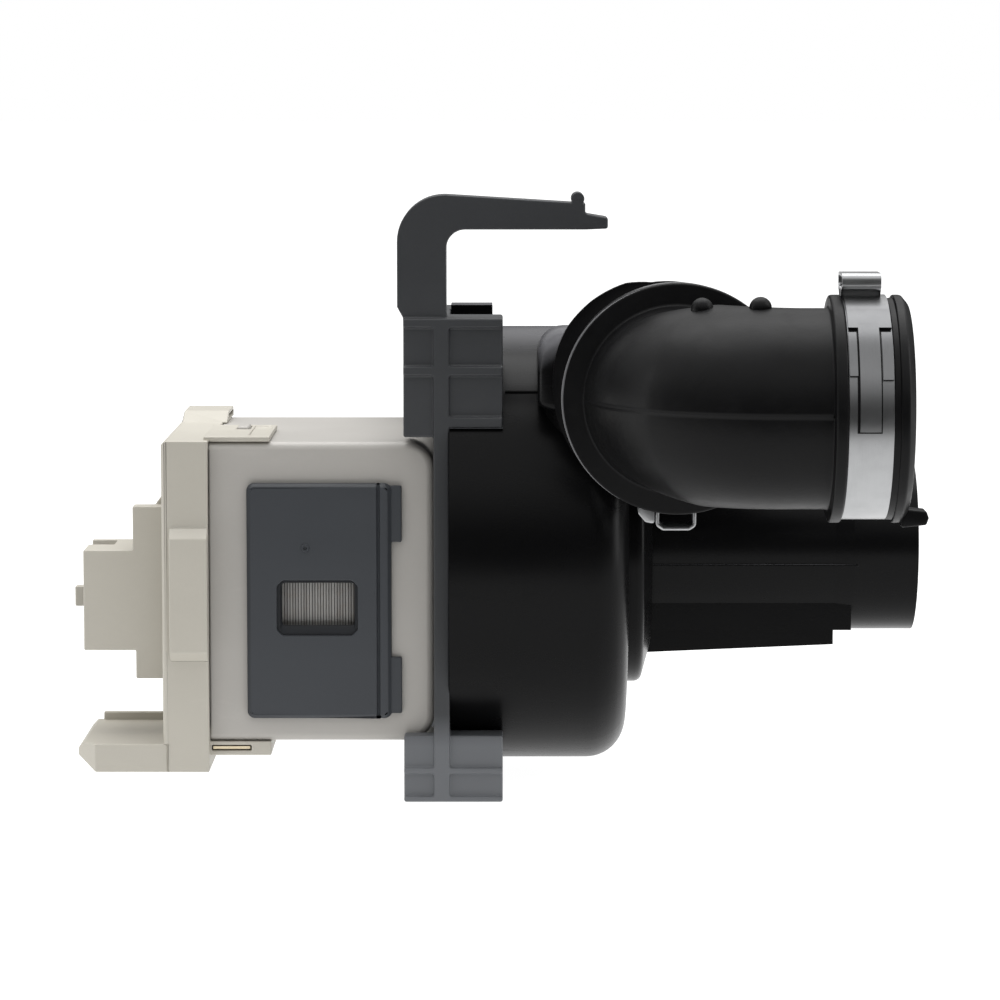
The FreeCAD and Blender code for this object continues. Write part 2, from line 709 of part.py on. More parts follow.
def make_elbow():
    """Rubber elbow: port cuff along Y, a quarter bend, and the end cuff along X."""
    body = begin("outlet_elbow")
    front = -bend_start
    bead_back = -(cuff_back + cuff_lip + cuff_seat_length)
    turn(body, "port_cuff", [
        (front, 0), (front, elbow_radius + cuff_root), (bead_back - bead_width, cuff_bead - bead_round),
        (bead_back - bead_width + bead_round, cuff_bead), (bead_back, cuff_bead), (bead_back, cuff_seat),
        (-cuff_back - cuff_lip, cuff_seat), (-cuff_back - cuff_lip, cuff_bead + back_lip_rise),
        (-cuff_back, cuff_bead + back_lip_rise), (-cuff_back, 0),
    ], about_x=False, at=(port_x, 0, port_z))
    sweep_bend(body, "bend", elbow_radius, cut=False)
    seat_left = -(end_station + end_lip + band_width)
    bead_left = seat_left - end_bead_width
    turn(body, "end_cuff", [
        (bend_x, 0), (bend_x, elbow_radius), (bead_left, elbow_flare), (bead_left, end_bead),
        (seat_left, end_bead), (seat_left, end_seat), (-end_station - end_lip, end_seat),
        (-end_station - end_lip, end_bead), (-end_station - bead_round, end_bead + lip_rise),
        (-end_station, end_bead), (-end_station, 0),
    ], at=(0, leg_y, port_z))
    ball(body, "near_nub", (port_x + near_nub_x, leg_y + near_nub_y, port_z + near_nub_z), nub_radius)
    ball(body, "far_nub", (port_x + far_nub_x, leg_y, port_z + far_nub_z), nub_radius)
    box(body, "pull_tab", (-end_station - pull_tab_back, -end_station + pull_tab_front),
        (leg_y - pull_tab_width, leg_y),
        (port_z - end_bead - pull_tab_drop, port_z - end_bead + pull_tab_rise))
    rod(body, "port_bore", "Y", (port_x, front - slip / 20, port_z),
        elbow_bore, bend_start - cuff_back + overshoot, cut=True)
    rod(body, "spigot_socket", "Y", (port_x, -spigot_front - slip, port_z),
        duct_radius + slip, spigot_front - cuff_back + overshoot, cut=True)
    sweep_bend(body, "bend_bore", elbow_bore, cut=True)
    rod(body, "leg_bore", "X", (bend_x - slip / 20, leg_y, port_z), elbow_bore, -bend_x, cut=True)
    rod(body, "end_socket", "X", (-end_station - end_bore_depth, leg_y, port_z),
        end_bore, end_bore_depth + overshoot, cut=True)


def sweep_bend(body, name, radius, cut):
    """Quarter bend of a round section, turned about the upright line inside the elbow."""
    sketch = sketch_on(body, name + "_section", "XZ_Plane", (bend_x, 0, bend_start))
    draw_circle(sketch, -bend_radius, port_z, radius)
    feature = body.newObject("PartDesign::Groove" if cut else "PartDesign::Revolution", name)
    feature.Profile = sketch
    feature.ReferenceAxis = (sketch, ["V_Axis"])
    feature.Angle = 90
    return feature


def make_port_clamp():
    """Ear clamp round the port cuff, with its crimped ear at the bottom."""
    body = begin("elbow_port_clamp")
    start = -(cuff_back + cuff_lip + (cuff_seat_length + band_width) / 2)
    ring = cuff_seat + band_thickness
    turn(body, "band", [
        (start, cuff_seat), (start, ring), (start + band_width, ring), (start + band_width, cuff_seat),
    ], about_x=False, at=(port_x, 0, port_z))
    low = port_z - ring
    sketch = sketch_on(body, "ear_outline", "XZ_Plane", (port_x, low, -start))
    half = ear_length / 2
    foot = band_thickness * 0.8
    draw_loop(sketch, [
        (-half, foot), (-half, -ear_height / 2), (-half * 0.6, -ear_height),
        (half * 0.6, -ear_height), (half, -ear_height / 2), (half, foot),
    ])
    inner = half - ear_wall
    draw_loop(sketch, [
        (-inner, -ear_wall), (-inner, -ear_height / 2), (-inner * 0.6, ear_wall - ear_height),
        (inner * 0.6, ear_wall - ear_height), (inner, -ear_height / 2), (inner, -ear_wall),
    ])
    pad(body, "ear", sketch, band_width, back=True)


def make_end_clamp():
    """Ear clamp round the end cuff, with its crimped ear on top."""
    body = begin("elbow_end_clamp")
    start = -(end_station + end_lip + band_width)
    ring = end_seat + band_thickness
    turn(body, "band", [
        (start, end_seat), (start, ring), (start + band_width, ring), (start + band_width, end_seat),
    ], at=(0, leg_y, port_z))
    high = port_z + ring
    sketch = sketch_on(body, "ear_outline", "YZ_Plane", (leg_y, high, start + ear_inset))
    half = ear_length / 2
    foot = band_thickness * 0.8
    draw_loop(sketch, [
        (-half, -foot), (-half, ear_height / 2), (-half * 0.6, ear_height),
        (half * 0.6, ear_height), (half, ear_height / 2), (half, -foot),
    ])
    inner = half - ear_wall
    draw_loop(sketch, [
        (-inner, ear_wall), (-inner, ear_height / 2), (-inner * 0.6, ear_height - ear_wall),
        (inner * 0.6, ear_height - ear_wall), (inner, ear_height / 2), (inner, ear_wall),
    ])
    pad(body, "ear", sketch, band_width - ear_inset * 2)


def make_bracket():
    """Slate bracket: a plate, four corner blocks with sockets, and the hook arm."""
    body = begin("mounting_bracket")
    left = plate_left - block_left_reach
    right = cover_back + block_right_reach
    box(body, "plate", (plate_left, cover_back), (-plate_half_width, plate_half_width),
        (-plate_half_height, plate_half_height))
    outer = plate_half_width - block_inset
    inner = outer - block_width
    shelf = clearance + case_bottom
    for side, near_y, far_y in (("front", -outer, -inner), ("back", inner, outer)):
        box(body, side + "_upper_block", (plate_left, right), (near_y, far_y),
            (upper_block_foot, plate_half_height))
        box(body, side + "_upper_panel", (left, plate_left), (near_y, far_y),
            (upper_panel_foot, plate_half_height))
        box(body, side + "_lower_block", (left, right), (near_y, far_y),
            (-plate_half_height, -lower_block_top))
    for side, near_y, far_y in (("front", -plate_half_width, -outer), ("back", outer, plate_half_width)):
        box(body, side + "_top_rib", (left, right), (near_y, far_y),
            (plate_half_height - rib_band, plate_half_height))
        box(body, side + "_middle_rib", (left, right), (near_y, far_y),
            (middle_rib, middle_rib + rib_band))
        box(body, side + "_low_band", (left, right), (near_y, far_y),
            (-plate_half_height, low_band_height - plate_half_height))
        box(body, side + "_low_rib", (left, right), (near_y, far_y),
            (low_rib_foot - plate_half_height, low_rib_foot + low_rib_height - plate_half_height))
    box(body, "front_foot_rim", (plate_left, right), (-plate_half_width, -outer),
        (upper_block_foot, upper_block_foot + foot_rim_height))
    back_top = plate_half_height - back_block_drop
    box(body, "back_top_relief", (left - overshoot, right + overshoot),
        (0, plate_half_width + overshoot), (back_top, plate_half_height + overshoot), cut=True)
    box(body, "back_side_relief", (right - back_block_recess, right + overshoot),
        (0, plate_half_width + overshoot), (0, plate_half_height + overshoot), cut=True)
    box(body, "case_relief", (left - overshoot, plate_left),
        (-case_half_width - clearance, case_half_width + clearance), (-shelf, shelf / 2), cut=True)
    rod(body, "drum_relief", "X", (cover_back, 0, 0), drum_radius + clearance,
        block_right_reach + overshoot, cut=True)
    rod(body, "can_hole", "X", (plate_left - overshoot, 0, 0), can_radius + can_clearance,
        plate_thickness + overshoot * 2, cut=True)
    for name, y, z in screw_places():
        rod(body, "screw_hole_" + name, "X", (plate_left - overshoot, y, z),
            screw_radius + slip, plate_thickness + overshoot * 2, cut=True)
    for row, z in (("upper", socket_z), ("lower", -socket_z)):
        for side, y in (("front", -socket_y), ("back", socket_y)):
            rod(body, row + "_" + side + "_socket", "X", (left - overshoot, y, z), socket_radius,
                right - left + overshoot * 2, cut=True)
    arm = sketch_on(body, "arm_outline", "XZ_Plane", (0, 0, plate_half_width - block_inset - arm_width))
    draw_loop(arm, [
        (left, plate_half_height - arm_root), (left, plate_half_height),
        (-arm_left, plate_half_height + arm_shoulder), (-arm_left, arm_top),
        (-arm_inner, arm_top), (-arm_end, arm_top - arm_drop),
        (-arm_end, arm_under + tongue_height),
        (tongue_length - arm_end, arm_under + tongue_height - tongue_bevel),
        (tongue_length - arm_end, arm_under + tongue_rise), (-arm_end, arm_under),
        (-arm_inner, arm_under),
        (-arm_inner, plate_half_height - arm_root),
    ])
    hook = pad(body, "hook_arm", arm, arm_width)
    bend = soften(body, "arm_outer_bend", hook, arm_corner, lambda edge:
                  near(edge.XMin, -arm_left) and near(edge.ZMin, arm_top) and edge.XLength < 0.01
                  and edge.ZLength < 0.01)
    soften(body, "arm_inner_bend", bend, arm_fillet, lambda edge:
           near(edge.XMin, -arm_inner) and near(edge.ZMin, arm_under)
           and edge.XLength < 0.01 and edge.ZLength < 0.01)
    rod(body, "arm_nub", "Y",
        (-arm_end - arm_nub_back, -plate_half_width + block_inset, arm_top - arm_drop + arm_nub_rise),
        arm_nub_radius, arm_width)


def make_screws():
    """Three screws that hold the rear cover to the bracket."""
    body = begin("bracket_screws")
    for name, y, z in screw_places():
        rod(body, "shank_" + name, "X", (plate_left, y, z),
            screw_radius, plate_thickness + screw_length - overshoot)
        rod(body, "head_" + name, "X", (plate_left - screw_head_height, y, z),
            screw_head, screw_head_height)


def make_case():
    """Off-white case round the core, open to the cap, with side windows for the core."""
    body = begin("stator_case")
    block = box(body, "block", (case_left, plate_left), (-case_half_width, case_half_width),
                (-case_bottom, case_top))
    ends = soften(body, "end_rounding", block, case_corner, lambda edge:
                  near(edge.XMin, plate_left) and edge.XLength < 0.01 and edge.YLength > 1)
    soften(body, "side_rounding", ends, case_wall, lambda edge: edge.XLength > 20)
    box(body, "hollow", (case_left - overshoot, plate_left - case_wall),
        (case_wall - case_half_width, case_half_width - case_wall),
        (case_wall - case_bottom, case_top - case_wall), cut=True)
    rod(body, "can_hole", "X", (plate_left - case_wall - overshoot, 0, 0), can_radius + can_clearance,
        case_wall + overshoot * 2, cut=True)
    box(body, "side_windows", (clip_left + side_window_inset, clip_right - side_window_inset),
        (-case_half_width - overshoot, case_half_width + overshoot),
        (side_window_inset - clip_bottom, clip_top - side_window_inset * 2), cut=True)
    catch_left = case_left + catch_place
    catches = (catch_front - case_half_width, catch_inner - case_half_width)
    for name, spans in (("top", (case_top - overshoot, case_top + catch_height)),
                        ("low", (-case_bottom - catch_height, overshoot - case_bottom))):
        box(body, name + "_catch", (catch_left, catch_left + catch_width), catches, spans)


def make_core():
    """Laminated iron core with the rotor bore and the slot for the coil."""
    body = begin("stator_core")
    half = case_half_width - case_wall - slip
    sketch = sketch_on(body, "lamination", "YZ_Plane", (0, 0, stack_left))
    draw_loop(sketch, [
        (-half, -yoke_bottom), (half, -yoke_bottom),
        (half, case_top - case_wall - slip), (-half, case_top - case_wall - slip),
    ])
    draw_circle(sketch, 0, 0, can_radius + can_clearance)
    draw_loop(sketch, [
        (-slot_half_width, -yoke_top), (slot_half_width, -yoke_top),
        (slot_half_width, -slot_top), (-slot_half_width, -slot_top),
    ])
    pad(body, "stack", sketch, stack_length)


def make_bobbin():
    """Plastic former round the yoke, with a cheek at each end."""
    body = begin("coil_bobbin")
    length = slot_half_width - slip
    low = -yoke_bottom - slip
    high = -yoke_top + slip
    box(body, "tube", (stack_left - slip - bobbin_wall, stack_right + slip + bobbin_wall),
        (-length, length), (low - bobbin_wall, high + bobbin_wall))
    for side, start in (("front", -length), ("back", length - bobbin_wall)):
        box(body, side + "_cheek", (stack_left - coil_overhang, stack_right + coil_overhang),
            (start, start + bobbin_wall), (low - cheek_drop, -slot_top - slip))
    box(body, "yoke_passage", (stack_left - slip, stack_right + slip),
        (-length - overshoot, length + overshoot), (low, high), cut=True)


def make_coil():
    """Copper winding on the bobbin."""
    body = begin("stator_coil")
    length = slot_half_width - slip - bobbin_wall
    low = -yoke_bottom - slip - bobbin_wall
    high = -yoke_top + slip + bobbin_wall
    block = box(body, "winding", (stack_left - coil_overhang, stack_right + coil_overhang),
                (-length, length), (low - winding_drop, -slot_top - slip))
    soften(body, "winding_rounding", block, winding_corner, lambda edge: edge.YLength > number_of(length))
    box(body, "bobbin_passage", (stack_left - slip - bobbin_wall, stack_right + slip + bobbin_wall),
        (-length - overshoot, length + overshoot), (low, high), cut=True)


def make_clip(label, front):
    """Slate cover clipped on the side of the case, with the window that shows the core."""
    body = begin(label)
    inner_y = case_half_width
    outer_y = case_half_width + clip_thickness
    spans = (-outer_y, -inner_y) if front else (inner_y, outer_y)
    block = box(body, "panel", (clip_left, clip_right), spans, (-clip_bottom, clip_top))
    face = -outer_y if front else outer_y
    rounded = soften(body, "panel_corners", block, clip_corner, lambda edge:
                     edge.XLength < 0.01 and edge.ZLength < 0.01)
    soften(body, "panel_bevel", rounded, clip_bevel, lambda edge:
           near(edge.YMin, face) and near(edge.YMax, face), bevel=True)
    tab_spans = (-outer_y + tab_step, -inner_y) if front else (inner_y, outer_y - tab_step)
    for name, low in (("upper", clip_top - tab_height - upper_tab_drop),
                      ("lower", lower_tab_rise - clip_bottom)):
        box(body, name + "_tab", (clip_right - tab_bite, clip_right + tab_reach), tab_spans,
            (low, low + tab_height))
    floor_y = outer_y - panel_groove_depth
    over_y = outer_y + overshoot
    groove_left = clip_right - panel_groove_place
    box(body, "panel_groove", (groove_left, groove_left + panel_groove_width),
        (-over_y, -floor_y) if front else (floor_y, over_y),
        (-clip_bottom - overshoot, clip_top + overshoot), cut=True)
    sketch = sketch_on(body, "window_outline", "XZ_Plane")
    left = clip_left + window_left
    right = left + window_length
    top = -window_top
    low = top - window_height
    corner = window_corner
    draw_loop(sketch, [
        (left + corner, low), (right - corner, low), (right, low + corner), (right, top - corner),
        (right - corner, top), (left + corner, top), (left, top - corner), (left, low + corner),
    ])
    pocket(body, "window", sketch, outer_y + overshoot, back=front)


def make_cap():
    """Cream end cap with its latch straps, hood, plug housing and prong."""
    body = begin("motor_end_cap")
    shell = box(body, "shell", (cap_left, case_left), (-cap_half_width, cap_half_width),
                (-cap_bottom, cap_top))
    soften(body, "shell_rounding", shell, cap_corner, lambda edge:
           near(edge.XMin, cap_left) and edge.XLength < 0.01)
    cap_floor = cap_left + cap_wall
    box(body, "shell_hollow", (cap_floor, case_left + overshoot),
        (cap_wall - cap_half_width, cap_half_width - cap_wall),
        (cap_wall - cap_bottom, cap_top - cap_wall), cut=True)
    seat = case_half_width - case_wall - slip
    low_seat = case_wall + slip - case_bottom
    high_seat = case_top - case_wall - slip
    box(body, "register", (cap_floor, case_left + register_reach), (-seat, seat), (low_seat, high_seat))
    box(body, "register_hollow", (cap_floor, case_left + register_reach + overshoot),
        (register_wall - seat, seat - register_wall),
        (low_seat + register_wall, high_seat - register_wall), cut=True)
    box(body, "rim_web", (case_left - rim_web_length, case_left),
        (overshoot - cap_half_width, cap_half_width - overshoot),
        (overshoot - cap_bottom, overshoot + case_wall - case_bottom))
    add_latch_straps(body)
    add_hood(body)
    add_plug(body)
    add_prong(body)


def add_latch_straps(body):
    """Two straps that snap over the catches of the case."""
    strap_end = case_left + strap_length
    catch_left = case_left + catch_place - slip
    top = case_top + slip / 2
    low = -case_bottom - slip / 2
    for name, spans in (("top", (top, top + strap_thickness)), ("low", (low - low_strap_thickness, low))):
        box(body, name + "_strap", (case_left - overshoot, strap_end),
            (-case_half_width, catch_inner + strap_border - case_half_width), spans)
        box(body, name + "_strap_window", (catch_left, catch_left + catch_width + slip * 2),
            (catch_front - slip - case_half_width, catch_inner + slip - case_half_width),
            (spans[0] - overshoot, spans[1] + overshoot), cut=True)
    panel_end = strap_end - strap_panel_border
    box(body, "strap_panel", (panel_end - strap_panel_length, panel_end),
        (strap_panel_front - case_half_width, catch_inner - case_half_width),
        (top + strap_thickness - strap_panel_depth, top + strap_thickness + overshoot), cut=True)
    slit_top = low - slit_drop
    box(body, "contact_slit", (case_left + slit_inset, case_left + slit_inset + slit_length),
        (-case_half_width - overshoot, slit_depth - case_half_width),
        (slit_top - slit_height, slit_top), cut=True)


def add_hood(body):
    """Raised hood on the far half of the cap's top, and the pad on its near side."""
    hood_top = cap_top + hood_rise
    section = sketch_on(body, "hood_section", "YZ_Plane", (0, 0, cap_left + hood_start))
    draw_loop(section, [
        (hood_side, cap_top - overshoot), (hood_side, cap_top), (hood_side + hood_ramp, hood_top),
        (cap_half_width - hood_shoulder, hood_top), (cap_half_width, hood_top - hood_shoulder),
        (cap_half_width, cap_top - overshoot),
    ])
    pad(body, "hood", section, cap_depth - hood_start + hood_end)
    box(body, "hood_hollow", (cap_left + hood_start + hood_wall, case_left + hood_end + overshoot),
        (hood_side + hood_ramp, cap_half_width - hood_wall),
        (cap_top + slip / 2, hood_top - hood_roof), cut=True)
    box(body, "case_clearance", (case_left, case_left + hood_end + overshoot),
        (hood_side - hood_wall, cap_half_width + overshoot),
        (cap_top - overshoot * 2, case_top + slip / 2), cut=True)
    for index in range(2):
        rib_y = hood_rib_place + hood_rib_pitch * index
        box(body, "hood_rib_%d" % (index + 1), (cap_left + hood_start + hood_wall / 2, case_left),
            (rib_y, rib_y + hood_rib_width), (cap_top - overshoot, hood_top - hood_roof / 2))
    outline = sketch_on(body, "side_pad_outline", "XZ_Plane", (0, 0, cap_half_width - overshoot))
    pad_left = cap_left + side_pad_inset
    draw_loop(outline, [
        (pad_left, -side_pad_bottom), (case_left, -side_pad_bottom),
        (case_left, side_pad_top), (pad_left, side_pad_top),
    ])
    side = pad(body, "side_pad", outline, side_pad_rise + overshoot)
    soften(body, "side_pad_ramp", side, side_pad_bevel, lambda edge:
           near(edge.YMin, -cap_half_width - side_pad_rise) and edge.YLength < 0.01
           and edge.ZLength < 0.01, bevel=True)


def add_plug(body):
    """Plug housing with its steps, gusset, cavity and key."""
    plug_left = cap_left - plug_length
    root = cap_left + overshoot
    plug_inner = plug_depth - plug_front
    box(body, "plug_housing", (plug_left, root), (-plug_front, plug_inner), (-plug_bottom, plug_top))
    box(body, "upper_step", (cap_left - upper_step_length, root),
        (-plug_front, upper_step_depth - plug_front), (plug_top - overshoot, upper_step_top))
    box(body, "lower_step", (cap_left - lower_step_length, root), (-plug_front, -step_inner),
        (-lower_step_bottom, overshoot - plug_bottom))
    gusset = sketch_on(body, "gusset_outline", "XZ_Plane", (0, 0, gusset_place))
    draw_loop(gusset, [
        (cap_left + overshoot / 2, upper_step_top - overshoot), (cap_left + overshoot / 2, gusset_top),
        (cap_left - gusset_tip, gusset_top), (cap_left - gusset_reach, upper_step_top),
        (cap_left - gusset_reach, upper_step_top - overshoot),
    ])
    pad(body, "gusset", gusset, gusset_width)
    cavity_end = plug_left + plug_cavity
    box(body, "plug_cavity", (plug_left - overshoot, cavity_end),
        (plug_wall - plug_front, plug_inner - plug_wall),
        (plug_wall - plug_bottom, plug_top - plug_wall), cut=True)
    box(body, "plug_notch", (plug_left - overshoot, plug_left + plug_notch_length),
        (-plug_notch_place, plug_inner - plug_wall),
        (plug_top - plug_wall - slip, plug_top + overshoot), cut=True)
    box(body, "plug_key", (plug_left - key_reach, cavity_end + overshoot),
        (-key_place, key_width - key_place), (-key_bottom, -key_top))


def add_prong(body):
    """Prong under the plug housing, with its slanted nose and the rib along its back."""
    base = cap_left - prong_length
    tip = base - nose_length
    outline = sketch_on(body, "prong_outline", "XZ_Plane", (0, 0, prong_inner))
    draw_loop(outline, [
        (cap_left + overshoot, -cap_bottom), (base, -cap_bottom), (tip, -nose_bottom), (tip, -nose_top),
        (tip + nose_slope, -prong_deck), (cap_left + overshoot, -prong_deck),
    ])
    pad(body, "prong", outline, cap_half_width - prong_inner)
    slant = nose_length / nose_cut
    corner = sketch_on(body, "nose_corner_outline", "XY_Plane", (0, 0, -cap_bottom))
    draw_loop(corner, [
        (base + slant * overshoot, -cap_half_width - overshoot),
        (tip - slant * overshoot, -cap_half_width + nose_cut + overshoot),
        (tip - slant * overshoot, -cap_half_width - overshoot),
    ])
    pocket(body, "nose_corner", corner, cap_bottom, both=True)
    box(body, "prong_rib", (tip + nose_slope * 2, cap_left + overshoot),
        (-prong_inner - prong_rib_width, -prong_inner), (-prong_deck - overshoot, -prong_rib_top))


def make_terminals():
    """Three flat blades in the plug housing."""
    body = begin("connector_terminals")
    floor = cap_left - plug_length + plug_cavity
    middle_y = plug_depth / 3 - plug_front
    middle_z = (plug_top - plug_bottom) / 2
    for index in range(3):
        z = middle_z + blade_pitch * (index - 1)
        box(body, "blade_%d" % (index + 1), (floor - blade_length, floor),
            (middle_y - blade_width / 2, middle_y + blade_width / 2),
            (z - blade_thickness / 2, z + blade_thickness / 2))


def make_contact():
    """Flat contact in the slit of the low latch strap."""
    body = begin("strap_contact")
    middle = -case_bottom - slip / 2 - slit_drop - slit_height / 2
    start = case_left + slit_inset * 2
    box(body, "strip", (start, start + slit_length - slit_inset * 2),
        (contact_inset - case_half_width, slit_depth - slit_inset - case_half_width),
        (middle - slit_height / 4, middle + slit_height / 4))


def make_can():
    """Thin can that keeps the water on the rotor side."""
    body = begin("rotor_can")
    flange = cover_back + cover_wall
    end = flange - can_length
    turn(body, "can", [
        (end, 0), (end, can_radius), (flange, can_radius), (flange, can_flange),
        (flange + flange_thickness, can_flange), (flange + flange_thickness, can_radius - can_wall),
        (end + can_wall, can_radius - can_wall), (end + can_wall, 0),
    ])


def make_bearing_parts():
    """Carbon bushes of the shaft and the holders that seat them."""
    flange = cover_back + cover_wall + flange_thickness
    can_end = cover_back + cover_wall - can_length + can_wall
    holder = begin("front_bearing_holder")
    turn(holder, "disc", [
        (flange - bush_back, bush_radius), (flange - bush_back, bush_radius + bush_wall),
        (flange, bush_radius + bush_wall), (flange, can_flange), (flange + bush_front, can_flange),
        (flange + bush_front, bush_radius + bush_wall), (flange + holder_nose, bush_radius + bush_wall),
        (flange + holder_nose, bush_radius),
    ])
    hole = rod(holder, "flow_hole", "X", (flange - overshoot, flow_hole_place, 0),
               flow_hole_radius, bush_front + overshoot * 2, cut=True)
    repeat_round(holder, "flow_holes", [hole], 6)
    bush = begin("front_bearing")
    turn(bush, "bush", [
        (flange - bush_back, shaft_radius + running_gap), (flange - bush_back, bush_radius),
        (flange + bush_front, bush_radius), (flange + bush_front, shaft_radius + running_gap),
    ])
    cup = begin("rear_bearing_holder")
    outer = can_radius - can_wall
    turn(cup, "cup", [
        (can_end, 0), (can_end, outer), (can_end + rear_cup, outer), (can_end + rear_cup, bush_radius),
        (can_end + rear_cup_floor, bush_radius), (can_end + rear_cup_floor, 0),
    ])
    rear = begin("rear_bearing")
    turn(rear, "bush", [
        (can_end + rear_cup_floor, shaft_radius + running_gap), (can_end + rear_cup_floor, bush_radius),
        (can_end + rear_cup, bush_radius), (can_end + rear_cup, shaft_radius + running_gap),
    ])


def make_wear_ring():
    """Ring in the housing neck that the impeller's eye runs in."""
    body = begin("wear_ring")
    turn(body, "ring", [
        (neck_end, eye_radius + eye_gap), (neck_end, wear_seat),
        (neck_end + neck_length - overshoot, wear_seat),
        (neck_end + neck_length - overshoot, eye_radius + eye_gap),
    ])


def rotor_stations():
    """Ends of the magnet between the two bearings."""
    rear_face = cover_back + cover_wall - can_length + can_wall + rear_cup
    front_face = cover_back + cover_wall + flange_thickness - bush_back
    return (rear_face + axial_play + washer_thickness, front_face - axial_play - washer_thickness)


def make_rotor():
    """Shaft, rotor core, magnet, sleeve and thrust washers, which turn together."""
    low, high = rotor_stations()
    shaft = begin("shaft")
    hub_end = impeller_hub_end()
    tail = low - washer_thickness - axial_play - shaft_tail
    thread_end = hub_end + thread_length
    thread_radius = shaft_radius - thread_step
    turn(shaft, "shaft", [
        (tail, 0), (tail, shaft_radius), (hub_end, shaft_radius), (hub_end, thread_radius),
        (thread_end - thread_bevel, thread_radius), (thread_end, thread_radius - thread_bevel),
        (thread_end, 0),
    ])
    hub = begin("rotor_core")
    turn(hub, "core", [
        (low + sleeve_wall, shaft_radius), (low + sleeve_wall, magnet_bore),
        (high - sleeve_wall, magnet_bore), (high - sleeve_wall, shaft_radius),
    ])
    magnet = begin("rotor_magnet")
    turn(magnet, "magnet", [
        (low + sleeve_wall, magnet_bore), (low + sleeve_wall, magnet_radius),
        (high - sleeve_wall, magnet_radius), (high - sleeve_wall, magnet_bore),
    ])
    sleeve = begin("rotor_sleeve")
    skin = magnet_radius + sleeve_wall
    turn(sleeve, "sleeve", [
        (low, shaft_radius), (low, skin), (high, skin), (high, shaft_radius),
        (high - sleeve_wall, shaft_radius), (high - sleeve_wall, magnet_radius),
        (low + sleeve_wall, magnet_radius), (low + sleeve_wall, shaft_radius),
    ])
    washers = begin("thrust_washers")
    for name, start in (("rear", low - washer_thickness), ("front", high)):
        turn(washers, name + "_washer", [
            (start, shaft_radius), (start, shaft_radius + washer_wall),
            (start + washer_thickness, shaft_radius + washer_wall),
            (start + washer_thickness, shaft_radius),
        ])


def impeller_back():
    """Rear face of the impeller's back disc."""
    return cover_back + cover_wall + impeller_gap


def impeller_hub_end():
    """Front face of the impeller's hub."""
    return impeller_back() + disc_thickness + outlet_width + hub_rise


def make_impeller():
    """Impeller with its back disc, hub and six backward-curved vanes."""
    body = begin("impeller")
    back = impeller_back()
    floor = back + disc_thickness
    hub_end = impeller_hub_end()
    turn(body, "disc_and_hub", [
        (back - overshoot, shaft_radius), (back - overshoot, shaft_radius + hub_rise),
        (back, shaft_radius + hub_rise), (back, impeller_radius), (floor, impeller_radius),
        (floor, shaft_radius + hub_foot), (floor + hub_shoulder_rise, shaft_radius + hub_shoulder),
        (hub_end, shaft_radius + hub_rise), (hub_end, shaft_radius),
    ])
    root = shaft_radius + vane_root
    tip = impeller_radius - shroud_step
    mid = (root + tip) / 2
    outer = (tip - root) * 0.62
    vane = sketch_on(body, "vane_outline", "YZ_Plane", (0, 0, floor - overshoot / 2))
    centre = (mid, -outer * 0.58)
    inner = outer - vane_thickness
    first = draw_arc(vane, centre, outer, 40, 150)
    second = draw_arc(vane, centre, inner, 40, 150)
    start = vane.addGeometry(
        Part.LineSegment(vane.Geometry[first].StartPoint, vane.Geometry[second].StartPoint))
    end = vane.addGeometry(Part.LineSegment(vane.Geometry[first].EndPoint, vane.Geometry[second].EndPoint))
    for line, place in ((start, 1), (end, 2)):
        vane.addConstraint(Sketcher.Constraint("Coincident", line, 1, first, place))
        vane.addConstraint(Sketcher.Constraint("Coincident", line, 2, second, place))
    blade = pad(body, "vane", vane, outlet_width + vane_rise)
    repeat_round(body, "vanes", [blade], vane_count)
    rim = floor + outlet_width
    past_hub = hub_end + hub_shoulder_rise
    turn(body, "shroud_relief", [
        (rim, impeller_radius + overshoot * 2), (rim, impeller_radius),
        (rim + shroud_rise, eye_radius), (past_hub, eye_radius),
        (past_hub, impeller_radius + overshoot * 2),
    ], cut=True)
    turn(body, "eye_relief", [
        (rim + hub_shoulder_rise, shaft_radius + hub_shoulder), (rim + eye_relief, eye_radius + eye_relief),
        (past_hub, eye_radius + eye_relief), (past_hub, shaft_radius + hub_shoulder),
    ], cut=True)
    shroud = begin("impeller_shroud")
    eye_end = neck_end + neck_length - overshoot * 2
    turn(shroud, "shroud", [
        (rim, impeller_radius), (rim + shroud_thickness, impeller_radius),
        (rim + shroud_rise + shroud_thickness, eye_radius), (eye_end, eye_radius),
        (eye_end, eye_radius - shroud_thickness),
        (rim + shroud_rise - shroud_step, eye_radius - shroud_thickness), (rim + shroud_rise, eye_radius),
    ])
    nut = begin("impeller_nut")
    sketch = sketch_on(nut, "nut_outline", "YZ_Plane", (0, 0, hub_end))
    across = shaft_radius + nut_wall
    draw_loop(sketch, [(across * math.cos(math.radians(60 * step)), across * math.sin(math.radians(60 * step)))
                       for step in range(6)])
    draw_circle(sketch, 0, 0, shaft_radius - thread_step)
    pad(nut, "nut", sketch, nut_height)


def check_and_write():
    """Recomputes, checks every object and writes each piece to its own file."""
    doc.recompute()
    for thing in doc.Objects:
        if "Invalid" in thing.State or "Error" in thing.State:
            raise RuntimeError("%s failed: %s" % (thing.Name, thing.State))
    os.makedirs("parts", exist_ok=True)
    for piece in pieces:
        if piece.Shape.isNull() or not piece.Shape.isValid():
            raise RuntimeError("%s has no valid shape" % piece.Label)
        piece.Shape.exportStep("parts/%s.step" % piece.Label)
        limits = piece.Shape.BoundBox
        print("%-22s solids %d volume %9.1f  x %7.2f %7.2f  y %6.2f %6.2f  z %6.2f %6.2f" % (
            piece.Label, len(piece.Shape.Solids), piece.Shape.Volume, limits.XMin, limits.XMax,
            limits.YMin, limits.YMax, limits.ZMin, limits.ZMax))


